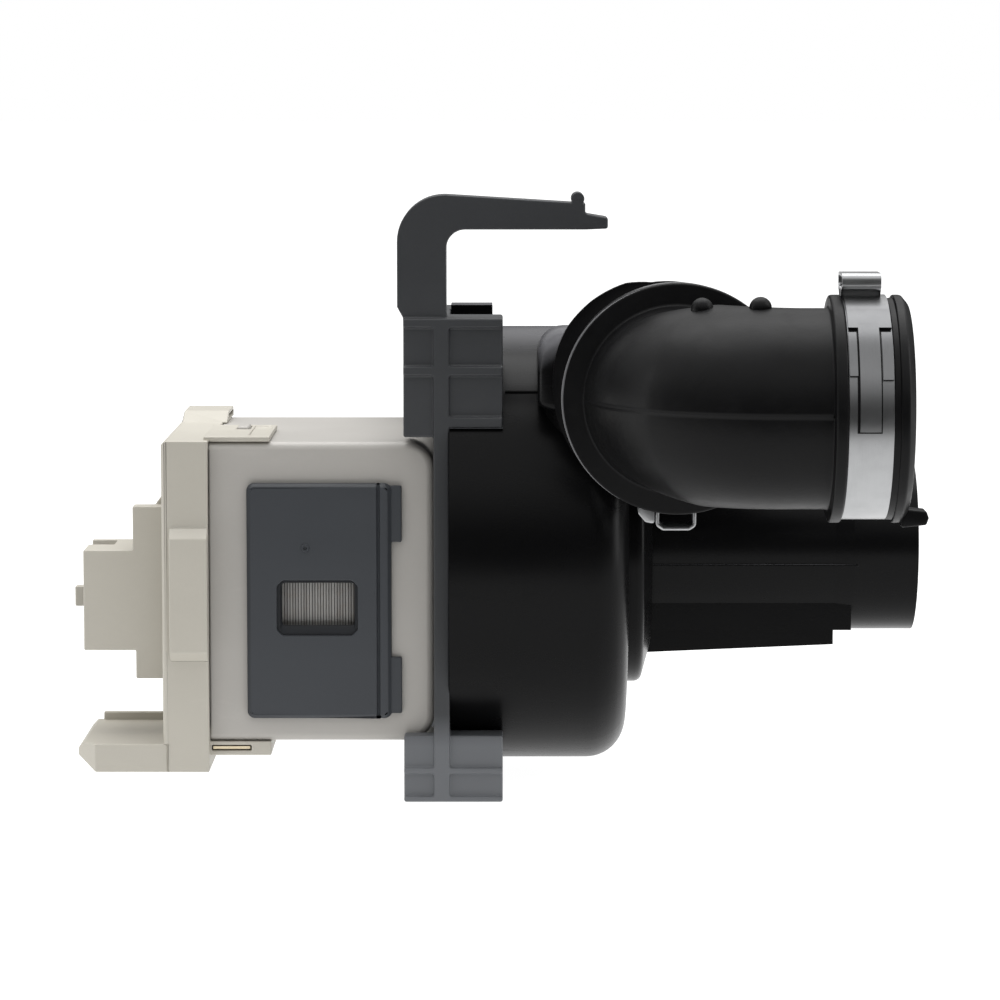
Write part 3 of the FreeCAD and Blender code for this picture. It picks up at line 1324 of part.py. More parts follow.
doc.recompute()
make_housing()
make_rear_cover()
make_seal()
make_elbow()
make_port_clamp()
make_end_clamp()
make_bracket()
make_screws()
make_case()
make_core()
make_bobbin()
make_coil()
make_clip("core_cover_front", True)
make_clip("core_cover_rear", False)
make_cap()
make_terminals()
make_contact()
make_can()
make_bearing_parts()
make_wear_ring()
make_rotor()
make_impeller()
check_and_write()
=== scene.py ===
import math

import bmesh
import bpy
from bpy.props import FloatProperty, FloatVectorProperty, PointerProperty
from mathutils import Matrix, Vector
from mathutils.bvhtree import BVHTree


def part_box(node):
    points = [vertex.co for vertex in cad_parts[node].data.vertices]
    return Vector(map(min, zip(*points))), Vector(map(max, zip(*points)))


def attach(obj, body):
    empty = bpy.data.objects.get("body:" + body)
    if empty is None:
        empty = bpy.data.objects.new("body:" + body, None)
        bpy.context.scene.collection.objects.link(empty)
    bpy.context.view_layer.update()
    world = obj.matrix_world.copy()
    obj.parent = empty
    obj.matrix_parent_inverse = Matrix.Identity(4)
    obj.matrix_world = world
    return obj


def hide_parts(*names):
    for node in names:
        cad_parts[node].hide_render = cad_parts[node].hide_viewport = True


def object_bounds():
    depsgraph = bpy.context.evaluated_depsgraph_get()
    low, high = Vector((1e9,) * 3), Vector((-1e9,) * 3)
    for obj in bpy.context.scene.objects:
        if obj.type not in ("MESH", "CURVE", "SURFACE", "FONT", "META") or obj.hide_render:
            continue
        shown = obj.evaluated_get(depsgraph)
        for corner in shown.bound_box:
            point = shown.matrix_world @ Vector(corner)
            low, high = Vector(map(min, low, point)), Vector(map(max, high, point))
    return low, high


# Looks for the wash pump motor of a dishwasher. Lengths are in metres, in the frame of the
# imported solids: X is the shaft, Z is up, and the origin is the centre of the suction mouth.

bl_info = {
    "name": "Dishwasher pump motor",
    "version": (1, 0, 0),
    "blender": (4, 5, 0),
    "location": "3D Viewport > Sidebar > Pump motor",
    "description": "Dresses the packed pump motor with moulded, rubber and metal finishes",
    "category": "Object",
}

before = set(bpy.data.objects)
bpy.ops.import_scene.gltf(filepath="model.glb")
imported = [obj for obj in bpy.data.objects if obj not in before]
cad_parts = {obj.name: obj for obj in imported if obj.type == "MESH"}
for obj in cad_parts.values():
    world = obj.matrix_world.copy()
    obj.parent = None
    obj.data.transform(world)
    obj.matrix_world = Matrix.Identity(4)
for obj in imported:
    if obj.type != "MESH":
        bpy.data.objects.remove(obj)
cad_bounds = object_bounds()

MM = 0.001


def millimetres(node):
    """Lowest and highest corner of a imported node, in millimetres."""
    low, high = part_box(node)
    return low / MM, high / MM


class PumpColours(bpy.types.PropertyGroup):
    """Base colours of the moulded and rubber parts."""

    drum_black: FloatVectorProperty(
        name="Drum black", description="Half-gloss plastic of the drum and suction pipe",
        default=(0.0030, 0.0030, 0.0032), subtype="COLOR")
    rubber_black: FloatVectorProperty(
        name="Rubber black", description="Rubber of the outlet elbow",
        default=(0.0042, 0.0042, 0.0045), subtype="COLOR")
    slate: FloatVectorProperty(
        name="Slate", description="Glass-filled plastic of the bracket",
        default=(0.043, 0.045, 0.048), subtype="COLOR")
    side_slate: FloatVectorProperty(
        name="Side cover slate", description="Plastic of the two covers beside the core",
        default=(0.044, 0.048, 0.054), subtype="COLOR")
    cream: FloatVectorProperty(
        name="Cream", description="Plastic of the end cap",
        default=(0.476, 0.452, 0.394), subtype="COLOR")
    off_white: FloatVectorProperty(
        name="Off-white", description="Plastic of the motor case",
        default=(0.424, 0.407, 0.380), subtype="COLOR")


class PumpEdges(bpy.types.PropertyGroup):
    """Sizes of the small roundings and of the mould lines."""

    moulded_round: FloatProperty(
        name="Moulded edge", description="Rounding on the outer edges of the plastic parts",
        default=0.45 * MM, unit="LENGTH")
    rubber_round: FloatProperty(
        name="Rubber edge", description="Rounding on the beads and lips of the elbow",
        default=0.7 * MM, unit="LENGTH")
    steel_round: FloatProperty(
        name="Steel edge", description="Rounding on the edges of the clamp strips",
        default=0.18 * MM, unit="LENGTH")
    mould_line: FloatProperty(
        name="Mould line", description="Height of the mould line along the elbow",
        default=0.28 * MM, unit="LENGTH")
    lamination: FloatProperty(
        name="Lamination", description="Thickness of one sheet of the iron core",
        default=0.6 * MM, unit="LENGTH")


class PumpStudio(bpy.types.PropertyGroup):
    """Camera and lights of the studio."""

    camera_distance: FloatProperty(
        name="Camera distance", description="Distance from the camera to the shaft",
        default=0.892, unit="LENGTH")
    camera_pitch: FloatProperty(
        name="Camera pitch", description="How far the camera looks down",
        default=math.radians(6.0), unit="ROTATION")
    sky_strength: FloatProperty(
        name="Sky strength", description="Strength of the soft light from above", default=1.25)
    belt_strength: FloatProperty(
        name="Belt strength", description="Strength of the light from the sides", default=0.05)
    floor_reach: FloatProperty(
        name="Floor reach", description="Half the width of the floor", default=14.0, unit="LENGTH")
    floor_front: FloatProperty(
        name="Floor front", description="How far the floor comes towards the camera",
        default=0.32, unit="LENGTH")


# Finishes

class Flow:
    """A number, colour or vector on its way through a node tree, with arithmetic."""

    def __init__(self, nodes, socket):
        self.nodes = nodes
        self.socket = socket

    def maths(self, operation, *values):
        sockets = dict(enumerate(values))
        return self.nodes.node("ShaderNodeMath", {"operation": operation}, sockets)

    def __add__(self, other):
        return self.maths("ADD", self, other)

    __radd__ = __add__

    def __mul__(self, other):
        return self.maths("MULTIPLY", self, other)

    __rmul__ = __mul__

    def __sub__(self, other):
        return self.maths("SUBTRACT", self, other)

    def __rsub__(self, other):
        return self.maths("SUBTRACT", other, self)

    def __truediv__(self, other):
        return self.maths("DIVIDE", self, other)


class NodeTree:
    """Nodes of a material or a sky, added one by one."""

    def __init__(self, tree):
        self.tree = tree

    def node(self, kind, settings=(), sockets=(), output=0):
        """Adds one node: its settings first, then the values or links of its sockets."""
        made = self.tree.nodes.new(kind)
        for key, value in dict(settings).items():
            if key == "stops":
                ramp = made.color_ramp.elements
                while len(ramp) < len(value):
                    ramp.new(1.0)
                for element, (place, shade) in zip(ramp, value):
                    element.position = place
                    element.color = (shade, shade, shade, 1.0)
            else:
                setattr(made, key, value)
        for key, value in dict(sockets).items():
            if isinstance(value, Flow):
                self.tree.links.new(value.socket, made.inputs[key])
            else:
                made.inputs[key].default_value = value
        return Flow(self, made.outputs[output] if len(made.outputs) else None)

    def place(self, stretch=(1.0, 1.0, 1.0)):
        """Place on the piece in millimetres, stretched along the axes."""
        where = self.node("ShaderNodeTexCoord", output="Object")
        scale = [share / MM for share in stretch]
        return self.node("ShaderNodeVectorMath", {"operation": "MULTIPLY"}, {0: where, 1: scale})

    def along(self, axis):
        """One coordinate of the place, in millimetres."""
        return self.node("ShaderNodeSeparateXYZ", sockets={0: self.place()}, output=axis)

    def noise(self, grain, detail=2.0, rough=0.5, stretch=(1.0, 1.0, 1.0), warp=0.0):
        """Noise with grains of the given size in millimetres."""
        return self.node("ShaderNodeTexNoise", {"noise_dimensions": "3D"}, {
            "Vector": self.place(stretch), "Scale": 1.0 / grain, "Detail": detail,
            "Roughness": rough, "Distortion": warp})

    def cells(self, grain, stretch=(1.0, 1.0, 1.0)):
        """Distance to scattered points that lie the given size apart, in millimetres."""
        return self.node("ShaderNodeTexVoronoi", {"feature": "F1"}, {
            "Vector": self.place(stretch), "Scale": 1.0 / grain}, output="Distance")

    def ramp(self, value, *stops):
        """Grey ramp through (place, shade) stops."""
        return self.node("ShaderNodeValToRGB", {"stops": stops}, {"Fac": value})

    def mix(self, share, first, second):
        """Colour between two colours."""
        colours = [
            (*value, 1.0) if isinstance(value, (tuple, list)) and len(value) == 3 else value
            for value in (first, second)]
        return self.node("ShaderNodeMix", {"data_type": "RGBA"},
                         {0: share, 6: colours[0], 7: colours[1]}, output=2)


class Finish(NodeTree):
    """A procedural material built round one shader."""

    def __init__(self, name, **fixed):
        self.material = bpy.data.materials.new(name)
        self.material.use_nodes = True
        super().__init__(self.material.node_tree)
        self.shader = next(node for node in self.tree.nodes if node.type == "BSDF_PRINCIPLED")
        for key, value in fixed.items():
            self.shader.inputs[key.replace("_", " ")].default_value = value

    def bumped(self, *layers):
        """Feeds the surface normal from (height, distance in millimetres) layers."""
        normal = None
        for height, distance in layers:
            sockets = {"Height": height, "Distance": distance * MM, "Strength": 1.0}
            if normal is not None:
                sockets["Normal"] = normal
            normal = self.node("ShaderNodeBump", sockets=sockets)
        self.feed(Normal=normal)

    def feed(self, **flows):
        """Links flows to sockets of the shader."""
        for key, value in flows.items():
            self.tree.links.new(value.socket, self.shader.inputs[key.replace("_", " ")])


def shaded(colour, share):
    """A colour scaled by a share."""
    return tuple(min(1.0, part * share) for part in colour)


def moulded(name, colour, gloss, grain=0.5, depth=0.012, mottle=0.16, specular=0.5,
            dusty=None, faded=None):
    """Moulded plastic: fine spark-eroded grain, faint flow mottle and handling scuffs.

    Painted top sheen is the upward slope where a painted highlight on up-facing faces begins, the
    slope where it is full and how much lighter that is. Painted floor light is the height in
    millimetres where a painted reflection of the floor begins to lighten the colour downwards,
    that of the lightest and how much lighter.
    """
    finish = Finish(name, Specular_IOR_Level=specular)
    clouds = finish.noise(16.0, detail=3.0, stretch=(0.6, 1.0, 1.0))
    specks = finish.noise(0.9, detail=2.0)
    scuffs = finish.ramp(finish.noise(5.0, detail=8.0, rough=0.72, stretch=(0.3, 1.0, 1.0)),
                         (0.58, 0.0), (0.72, 1.0))
    base = finish.mix(clouds, shaded(colour, 1.0 - mottle), shaded(colour, 1.0 + mottle))
    base = finish.mix(specks * 0.35, base, shaded(colour, 1.0 + mottle * 1.6))
    base = finish.mix(scuffs * 0.10, base, shaded(colour, 1.5))
    # Painted highlight: faces that look up are made lighter, in place of the sheen of light from
    # above.
    if dusty:
        slope = finish.node("ShaderNodeTexCoord", output="Normal")
        slope = finish.node("ShaderNodeSeparateXYZ", sockets={0: slope}, output="Z")
        cover = finish.ramp(slope, (dusty[0], 0.0), (dusty[1], 1.0)) * (0.8 + clouds * 0.3)
        base = finish.mix(cover, base, shaded(colour, dusty[2]))
    # Painted reflection of the floor: the colour is made lighter towards the bottom.
    if faded:
        high, low, paler = faded
        depth_down = (high - finish.along("Z")) / (high - low)
        base = finish.mix(finish.ramp(depth_down, (0.0, 0.0), (1.0, 1.0)), base,
                          shaded(colour, paler))
    finish.feed(Base_Color=base, Roughness=gloss + (clouds - 0.5) * 0.14 + scuffs * 0.10)
    finish.bumped((finish.noise(grain, detail=3.0, rough=0.6), depth), (clouds, 0.05))
    return finish.material


def rubber(name, colour, gloss, specular=0.5):
    """Moulded rubber: satin skin with fine grain, soft swirls and a little bloom."""
    finish = Finish(name, Specular_IOR_Level=specular)
    swirl = finish.noise(9.0, detail=4.0, rough=0.6, warp=0.8)
    bloom = finish.ramp(finish.noise(3.2, detail=6.0, rough=0.7), (0.52, 0.0), (0.78, 1.0))
    base = finish.mix(swirl, shaded(colour, 0.72), shaded(colour, 1.25))
    base = finish.mix(bloom * 0.14, base, shaded(colour, 3.0))
    finish.feed(Base_Color=base, Roughness=gloss + (swirl - 0.5) * 0.16 + bloom * 0.08)
    finish.bumped((finish.noise(0.28, detail=3.0, rough=0.65), 0.012), (swirl, 0.08))
    return finish.material


def metal(name, colour, gloss, stretch, depth=0.004, dull=None):
    """Drawn or rolled metal: fine lines across the stretch, faint stains and fingerprints.

    Painted shade is the height in millimetres where a painted shade starts to darken the colour
    upwards and the height where it has gone again.
    """
    finish = Finish(name, Metallic=1.0)
    lines = finish.noise(0.35, detail=4.0, rough=0.7, stretch=stretch)
    haze = finish.noise(4.0, detail=4.0, rough=0.6)
    base = finish.mix(lines, shaded(colour, 0.86), shaded(colour, 1.08))
    stains = finish.ramp(haze, (0.45, 0.0), (0.75, 1.0))
    base = finish.mix(stains * 0.15, base, shaded(colour, 0.6))
    # Painted shade: the band is darkened towards its top, and less again at the ear.
    if dull:
        rise = (finish.along("Z") - dull[0]) / (dull[1] - dull[0])
        shade_share = finish.ramp(rise, (0.0, 0.0), (0.45, 0.42), (0.8, 0.75), (0.93, 0.75), (1.0, 0.0))
        base = finish.mix(shade_share, base, (0.02, 0.02, 0.022))
    finish.feed(Base_Color=base, Roughness=gloss + (lines - 0.5) * 0.16 + (haze - 0.5) * 0.12)
    finish.bumped((lines, depth))
    return finish.material


def core_steel():
    """Stacked sheets of the iron core: thin gaps between them and a trace of rust."""
    sheet_mm = bpy.context.scene.pump_edges.lamination / MM
    finish = Finish("core_laminations", Metallic=0.55)
    sheets = finish.along("X") / sheet_mm
    within = sheets.maths("FRACT", sheets)
    edge = within.maths("ABSOLUTE", within - 0.5) * 2.0
    gap = finish.ramp(edge, (0.62, 0.0), (0.9, 1.0))
    number = sheets.maths("FLOOR", sheets)
    tone = finish.node("ShaderNodeTexWhiteNoise", {"noise_dimensions": "1D"}, {"W": number})
    rust = finish.ramp(finish.noise(2.4, detail=5.0, rough=0.7), (0.5, 0.0), (0.72, 1.0))
    base = finish.mix(tone, (0.25, 0.245, 0.235), (0.36, 0.355, 0.34))
    base = finish.mix(rust * 0.22, base, (0.30, 0.22, 0.15))
    base = finish.mix(gap * 0.9, base, (0.05, 0.045, 0.04))
    finish.feed(Base_Color=base, Roughness=0.42 + gap * 0.3 + rust * 0.1)
    finish.bumped((1.0 - gap, 0.08))
    return finish.material


def bearing_carbon():
    """Pressed carbon: matt dark grey with small pores."""
    finish = Finish("bearing_carbon", Metallic=0.15)
    pores = finish.ramp(finish.cells(0.5), (0.08, 0.0), (0.3, 1.0))
    base = finish.mix(pores, (0.012, 0.012, 0.012), (0.045, 0.045, 0.048))
    finish.feed(Base_Color=base, Roughness=0.62 - pores * 0.14)
    finish.bumped((pores, 0.03))
    return finish.material


def magnet_ferrite():
    """Sintered ferrite: dark, brittle and faintly pitted."""
    finish = Finish("magnet_ferrite", Metallic=0.3)
    pits = finish.ramp(finish.cells(0.7), (0.05, 0.0), (0.22, 1.0))
    tone = finish.noise(5.0, detail=4.0)
    base = finish.mix(tone, (0.025, 0.025, 0.026), (0.06, 0.06, 0.062))
    finish.feed(Base_Color=base, Roughness=0.5 + (1.0 - pits) * 0.2)
    finish.bumped((pits, 0.02))
    return finish.material


def copper_winding():
    """Enamelled copper wire: amber coat over bright copper."""
    finish = Finish("copper_wire", Metallic=1.0, Coat_Weight=0.6, Coat_Roughness=0.12)
    tone = finish.noise(1.2, detail=4.0, stretch=(1.0, 3.0, 1.0))
    base = finish.mix(tone, (0.62, 0.22, 0.08), (0.86, 0.40, 0.18))
    finish.feed(Base_Color=base, Roughness=0.28 + tone * 0.14)
    return finish.material


# Each kind of finish: its maker, the name of the material, the colour or the setting that holds
# it, the roughness, and what else the maker is told. The last four need nothing.
KINDS = {
    # The drum's black and the fairing's black carry a painted highlight on their up-facing faces.
    "black_plastic": (moulded, "drum_black_plastic", "drum_black", 0.27, {
        "grain": 0.42, "depth": 0.010, "mottle": 0.25, "specular": 0.10,
        "dusty": (0.90, 1.0, 32.0)}),
    "fairing_plastic": (moulded, "fairing_black_plastic", "drum_black", 0.27, {
        "grain": 0.42, "depth": 0.010, "mottle": 0.25, "specular": 0.10,
        "dusty": (0.05, 0.50, 50.0)}),
    # The bracket's slate is painted lighter towards its bottom, a painted reflection of the floor.
    "slate_plastic": (moulded, "slate_bracket_plastic", "slate", 0.42, {
        "grain": 0.35, "depth": 0.014, "mottle": 0.12, "specular": 0.3,
        "faded": (-33.0, -40.0, 3.2)}),
    "side_slate": (moulded, "slate_cover_plastic", "side_slate", 0.42, {
        "grain": 0.30, "depth": 0.010, "mottle": 0.10, "specular": 0.3}),
    # The window ledges get the cover slate at 0.42 of its brightness, as painted shade in the
    # recess.
    "shaded_ledge_slate": (moulded, "slate_ledge_plastic", (0.01848, 0.02016, 0.02268), 0.5, {
        "grain": 0.30, "depth": 0.010, "mottle": 0.10, "specular": 0.2}),
    "cream_plastic": (moulded, "cream_cap_plastic", "cream", 0.42, {
        "grain": 0.6, "depth": 0.012, "mottle": 0.05}),
    "offwhite_plastic": (moulded, "offwhite_case_plastic", "off_white", 0.40, {
        "grain": 0.6, "depth": 0.010, "mottle": 0.05}),
    "bobbin_plastic": (moulded, "bobbin_plastic", (0.55, 0.50, 0.38), 0.45, {
        "grain": 0.5, "mottle": 0.06}),
    "impeller_plastic": (moulded, "impeller_plastic", (0.40, 0.385, 0.35), 0.38, {
        "grain": 0.4, "mottle": 0.06}),
    "black_rubber": (rubber, "elbow_rubber", "rubber_black", 0.38, {"specular": 0.12}),
    # A pale rubber for a painted highlight along the edge of the cuff's bead.
    "highlight_rubber": (rubber, "elbow_worn_edge", (0.13, 0.13, 0.135), 0.34, {}),
    "seal_rubber": (rubber, "seal_rubber", (0.02, 0.02, 0.02), 0.55, {}),
    # The clamp steel carries a painted shade, darker towards the top of the band.
    "clamp_steel": (metal, "clamp_stainless", (0.42, 0.425, 0.43), 0.32, {
        "stretch": (6.0, 0.08, 0.08), "dull": (20.0, 60.0)}),
    "screw_steel": (metal, "screw_zinc", (0.62, 0.63, 0.62), 0.32, {"stretch": (1.0, 3.0, 3.0)}),
    "can_steel": (metal, "can_stainless", (0.60, 0.60, 0.60), 0.26, {
        "stretch": (8.0, 0.2, 0.2)}),
    "shaft_steel": (metal, "shaft_ground_steel", (0.66, 0.66, 0.66), 0.16, {
        "stretch": (10.0, 0.2, 0.2), "depth": 0.002}),
    "tinned_contact": (metal, "tinned_blade", (0.74, 0.73, 0.70), 0.30, {
        "stretch": (0.4, 4.0, 4.0)}),
    "brass_contact": (metal, "brass_strip", (0.66, 0.57, 0.40), 0.30, {
        "stretch": (0.4, 4.0, 4.0)}),
    "core_steel": (core_steel,),
    "bearing_carbon": (bearing_carbon,),
    "magnet_ferrite": (magnet_ferrite,),
    "copper_winding": (copper_winding,),
}
ready = {}


def finish_for(key):
    """Material of one kind, made the first time it is asked for."""
    if key not in ready:
        maker, *details = KINDS[key]
        options = details.pop() if details else {}
        if details and isinstance(details[1], str):
            details[1] = getattr(bpy.context.scene.pump_colours, details[1])
        ready[key] = maker(*details, **options)
    return ready[key]


def finish_node(node, key):
    """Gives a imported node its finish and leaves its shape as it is."""
    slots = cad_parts[node].data.materials
    slots.clear()
    slots.append(finish_for(key))


# Shapes

def fillet(points, radius, steps=4):
    """Closed outline with its corners rounded, each as far as its sides allow."""
    count = len(points)
    made = []
    for index in range(count):
        before, corner, after = (Vector(points[(index + step) % count][:2]) for step in (-1, 0, 1))
        want = points[index][2] if len(points[index]) > 2 else radius
        arriving, leaving = corner - before, after - corner
        if want <= 0.0 or arriving.length < 1e-9 or leaving.length < 1e-9:
            made.append(tuple(corner))
            continue
        turn = arriving.angle(leaving)
        if turn < math.radians(4.0):
            made.append(tuple(corner))
            continue
        room = min(arriving.length, leaving.length) * 0.48
        cut = min(want * math.tan(turn / 2.0), room)
        first = corner - arriving.normalized() * cut
        last = corner + leaving.normalized() * cut
        for step in range(steps + 1):
            share = step / steps
            made.append(tuple(first.lerp(corner, share).lerp(corner.lerp(last, share), share)))
    return made


def rings_to_mesh(bm, rings, closed=True):
    """Quads between neighbouring rings of vertices, and from the last to the first if closed."""
    count = len(rings[0])
    total = len(rings) if closed else len(rings) - 1
    for index in range(total):
        here, there = rings[index], rings[(index + 1) % len(rings)]
        for step in range(count):
            after = (step + 1) % count
            bm.faces.new((here[step], here[after], there[after], there[step]))


def lathe(bm, outline, axis, centre, steps=128):
    """Turned ring: a closed outline of (station, radius) in millimetres about an axis."""
    across = {"X": ((0, 1, 0), (0, 0, 1), (1, 0, 0)), "Y": ((0, 0, 1), (1, 0, 0), (0, 1, 0)),
              "Z": ((1, 0, 0), (0, 1, 0), (0, 0, 1))}[axis]
    side, up, ahead = (Vector(part) for part in across)
    rings = []
    for station, radius in outline:
        ring = []
        for step in range(steps):
            angle = math.tau * step / steps
            place = Vector(centre) + ahead * station
            place += (side * math.cos(angle) + up * math.sin(angle)) * radius
            ring.append(bm.verts.new(place * MM))
        rings.append(ring)
    rings_to_mesh(bm, rings)


def prism(bm, outline, axis, start, end, soft=0.0):
    """Solid between two stations along an axis, from an outline in millimetres."""
    order = {"X": lambda a, b, c: (c, a, b), "Y": lambda a, b, c: (a, c, b),
             "Z": lambda a, b, c: (a, b, c)}[axis]
    low = [bm.verts.new(Vector(order(a, b, start)) * MM) for a, b in outline]
    high = [bm.verts.new(Vector(order(a, b, end)) * MM) for a, b in outline]
    faces = [bm.faces.new(low), bm.faces.new(high)]
    count = len(low)
    for index in range(count):
        after = (index + 1) % count
        faces.append(bm.faces.new((low[index], low[after], high[after], high[index])))
    bmesh.ops.recalc_face_normals(bm, faces=faces)
    if soft > 0.0:
        rims = [edge for face in faces[:2] for edge in face.edges]
        bmesh.ops.bevel(bm, geom=rims, offset=soft * MM, segments=3, profile=0.5,
                        affect="EDGES", clamp_overlap=True)


def ribbon(points, thickness):
    """Closed outline of a bent strip that follows the points on one side."""
    path = [Vector(point) for point in points]
    outer = []
    for index, point in enumerate(path):
        before = path[max(index - 1, 0)]
        after = path[min(index + 1, len(path) - 1)]
        run = (after - before).normalized()
        outer.append(point + Vector((-run.y, run.x)) * thickness)
    return [tuple(point) for point in path] + [tuple(point) for point in reversed(outer)]


def new_piece(name, bm, key, slot, *nodes, body="root", sharp=32.0):
    """Object from the mesh, with its finish, its body and the nodes that it stands for."""
    bmesh.ops.recalc_face_normals(bm, faces=bm.faces)
    mesh = bpy.data.meshes.new(name)
    bm.to_mesh(mesh)
    bm.free()
    mesh.shade_smooth()
    mesh.set_sharp_from_angle(angle=math.radians(sharp))
    piece = bpy.data.objects.new(name, mesh)
    bpy.context.scene.collection.objects.link(piece)
    mesh.materials.append(finish_for(key))
    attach(piece, body)
    if nodes:
        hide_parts(*nodes)
    return piece


def eased_copy(name, node, key, slot, width, cuts=(), body="root", sharp=30.0):
    """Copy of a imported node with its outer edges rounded, which stands for the node.

    The flat faces are split at the cuts, as (axis, place in millimetres), so that none has a hole.
    """
    bm = bmesh.new()
    bm.from_mesh(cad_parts[node].data)
    packed = BVHTree.FromBMesh(bm)
    for layer in list(bm.loops.layers.float_vector):
        bm.loops.layers.float_vector.remove(layer)
    bmesh.ops.remove_doubles(bm, verts=bm.verts, dist=0.002 * MM)
    for axis, place in cuts:
        normal = Vector([1.0 if letter == axis else 0.0 for letter in "XYZ"])
        split = bmesh.ops.bisect_plane(bm, geom=[*bm.verts, *bm.edges, *bm.faces], dist=0.001 * MM,
                                       plane_co=normal * place * MM, plane_no=normal)
        for edge in split["geom_cut"]:
            if isinstance(edge, bmesh.types.BMEdge):
                edge.seam = True
    bmesh.ops.dissolve_limit(bm, angle_limit=math.radians(0.4), verts=bm.verts, edges=bm.edges,
                             delimit={"SEAM"})
    bm.edges.ensure_lookup_table()
    weight = bm.edges.layers.float.new("bevel_weight_edge")
    least = math.radians(sharp)
    sharp_edges = [edge for edge in bm.edges
                   if len(edge.link_faces) == 2 and edge.calc_face_angle(0.0) > least]
    chosen = set(sharp_edges)
    for edge in sharp_edges:
        room = edge.calc_length() * 3.0
        for corner in edge.verts:
            for other in corner.link_edges:
                if other is not edge and other not in chosen:
                    room = min(room, other.calc_length())
        edge[weight] = max(0.0, min(1.0, room * 0.45 / width))
    mesh = bpy.data.meshes.new(name)
    bm.to_mesh(mesh)
    bm.free()
    rough = bpy.data.objects.new(name + "_rough", mesh)
    bpy.context.scene.collection.objects.link(rough)
    bevel = rough.modifiers.new("edges", "BEVEL")
    bevel.width = width
    bevel.segments = 2
    bevel.limit_method = "WEIGHT"
    bevel.use_clamp_overlap = False
    bevel.miter_outer = "MITER_ARC"
    shape = rough.evaluated_get(bpy.context.evaluated_depsgraph_get())
    eased = bmesh.new()
    eased.from_mesh(bpy.data.meshes.new_from_object(shape))
    bpy.data.objects.remove(rough)
    for vertex in eased.verts:
        spot, _, _, away = packed.find_nearest(vertex.co)
        if away > width * 1.1:
            vertex.co = spot
    bmesh.ops.dissolve_degenerate(eased, dist=0.001 * MM, edges=eased.edges)
    piece = new_piece(name, eased, key, slot, node, body=body)
    weighted = piece.modifiers.new("normals", "WEIGHTED_NORMAL")
    weighted.keep_sharp = True
    weighted.weight = 100
    shape = piece.evaluated_get(bpy.context.evaluated_depsgraph_get())
    mesh = bpy.data.meshes.new_from_object(shape)
    piece.modifiers.clear()
    piece.data = mesh
    return piece


# Pieces

class PUMP_OT_housing(bpy.types.Operator):
    """Finish the volute drum, its rear cover and the seal between them"""

    bl_idname = "pump.housing"
    bl_label = "Pump housing"

    def execute(self, context):
        finish_node("pump_housing", "black_plastic")
        finish_node("rear_cover", "black_plastic")
        finish_node("cover_seal_ring", "seal_rubber")
        bm = bmesh.new()
        pipe_line = [(-18.7, -3.35), (-19.38, -3.2), (-19.38, -3.0), (-18.7, -2.85)]
        prism(bm, pipe_line, "X", -58.0, -13.4)
        dot = Matrix.Translation(Vector((-13.4, -18.9, -3.1)) * MM)
        bmesh.ops.create_icosphere(bm, subdivisions=2, radius=0.55 * MM, matrix=dot)
        drum_line = [(-31.7, 35.8), (-32.15, 36.15), (-32.3, 36.0), (-32.0, 35.5)]
        prism(bm, drum_line, "X", -90.4, -83.2)
        new_piece("housing_mould_lines", bm, "black_plastic", "black_plastic", sharp=60.0)
        self.fairing()
        return {"FINISHED"}

    def fairing(self):
        """Squarish block beside the outlet duct, with its left end rounded over."""
        left, right, end_round, steps = -83.5, -66.0, 5.5, 8
        bm = bmesh.new()
        rows = []
        for step in range(steps + 1):
            turn = math.pi / 2.0 * step / steps
            inset = end_round * (1.0 - math.sin(turn))
            front, top, low = -44.4 + inset * 0.5, 50.1 - inset, 32.6 + inset * 0.3
            section = fillet([(front, low, 1.5), (front, top, 6.5), (-30.0, top, 1.0),
                              (-6.0, top - 2.9, 0.0), (-6.0, 38.0, 0.0), (-28.0, low, 0.0)], 1.0)
            x = left + end_round * (1.0 - math.cos(turn))
            rows.append([bm.verts.new(Vector((x, y, z)) * MM) for y, z in section])
        rows.append([bm.verts.new(Vector((right, y, z)) * MM) for y, z in section])
        rings_to_mesh(bm, rows, closed=False)
        bm.faces.new(rows[0])
        bm.faces.new(rows[-1])
        new_piece("duct_fairing", bm, "fairing_plastic", "black_plastic", sharp=50.0)


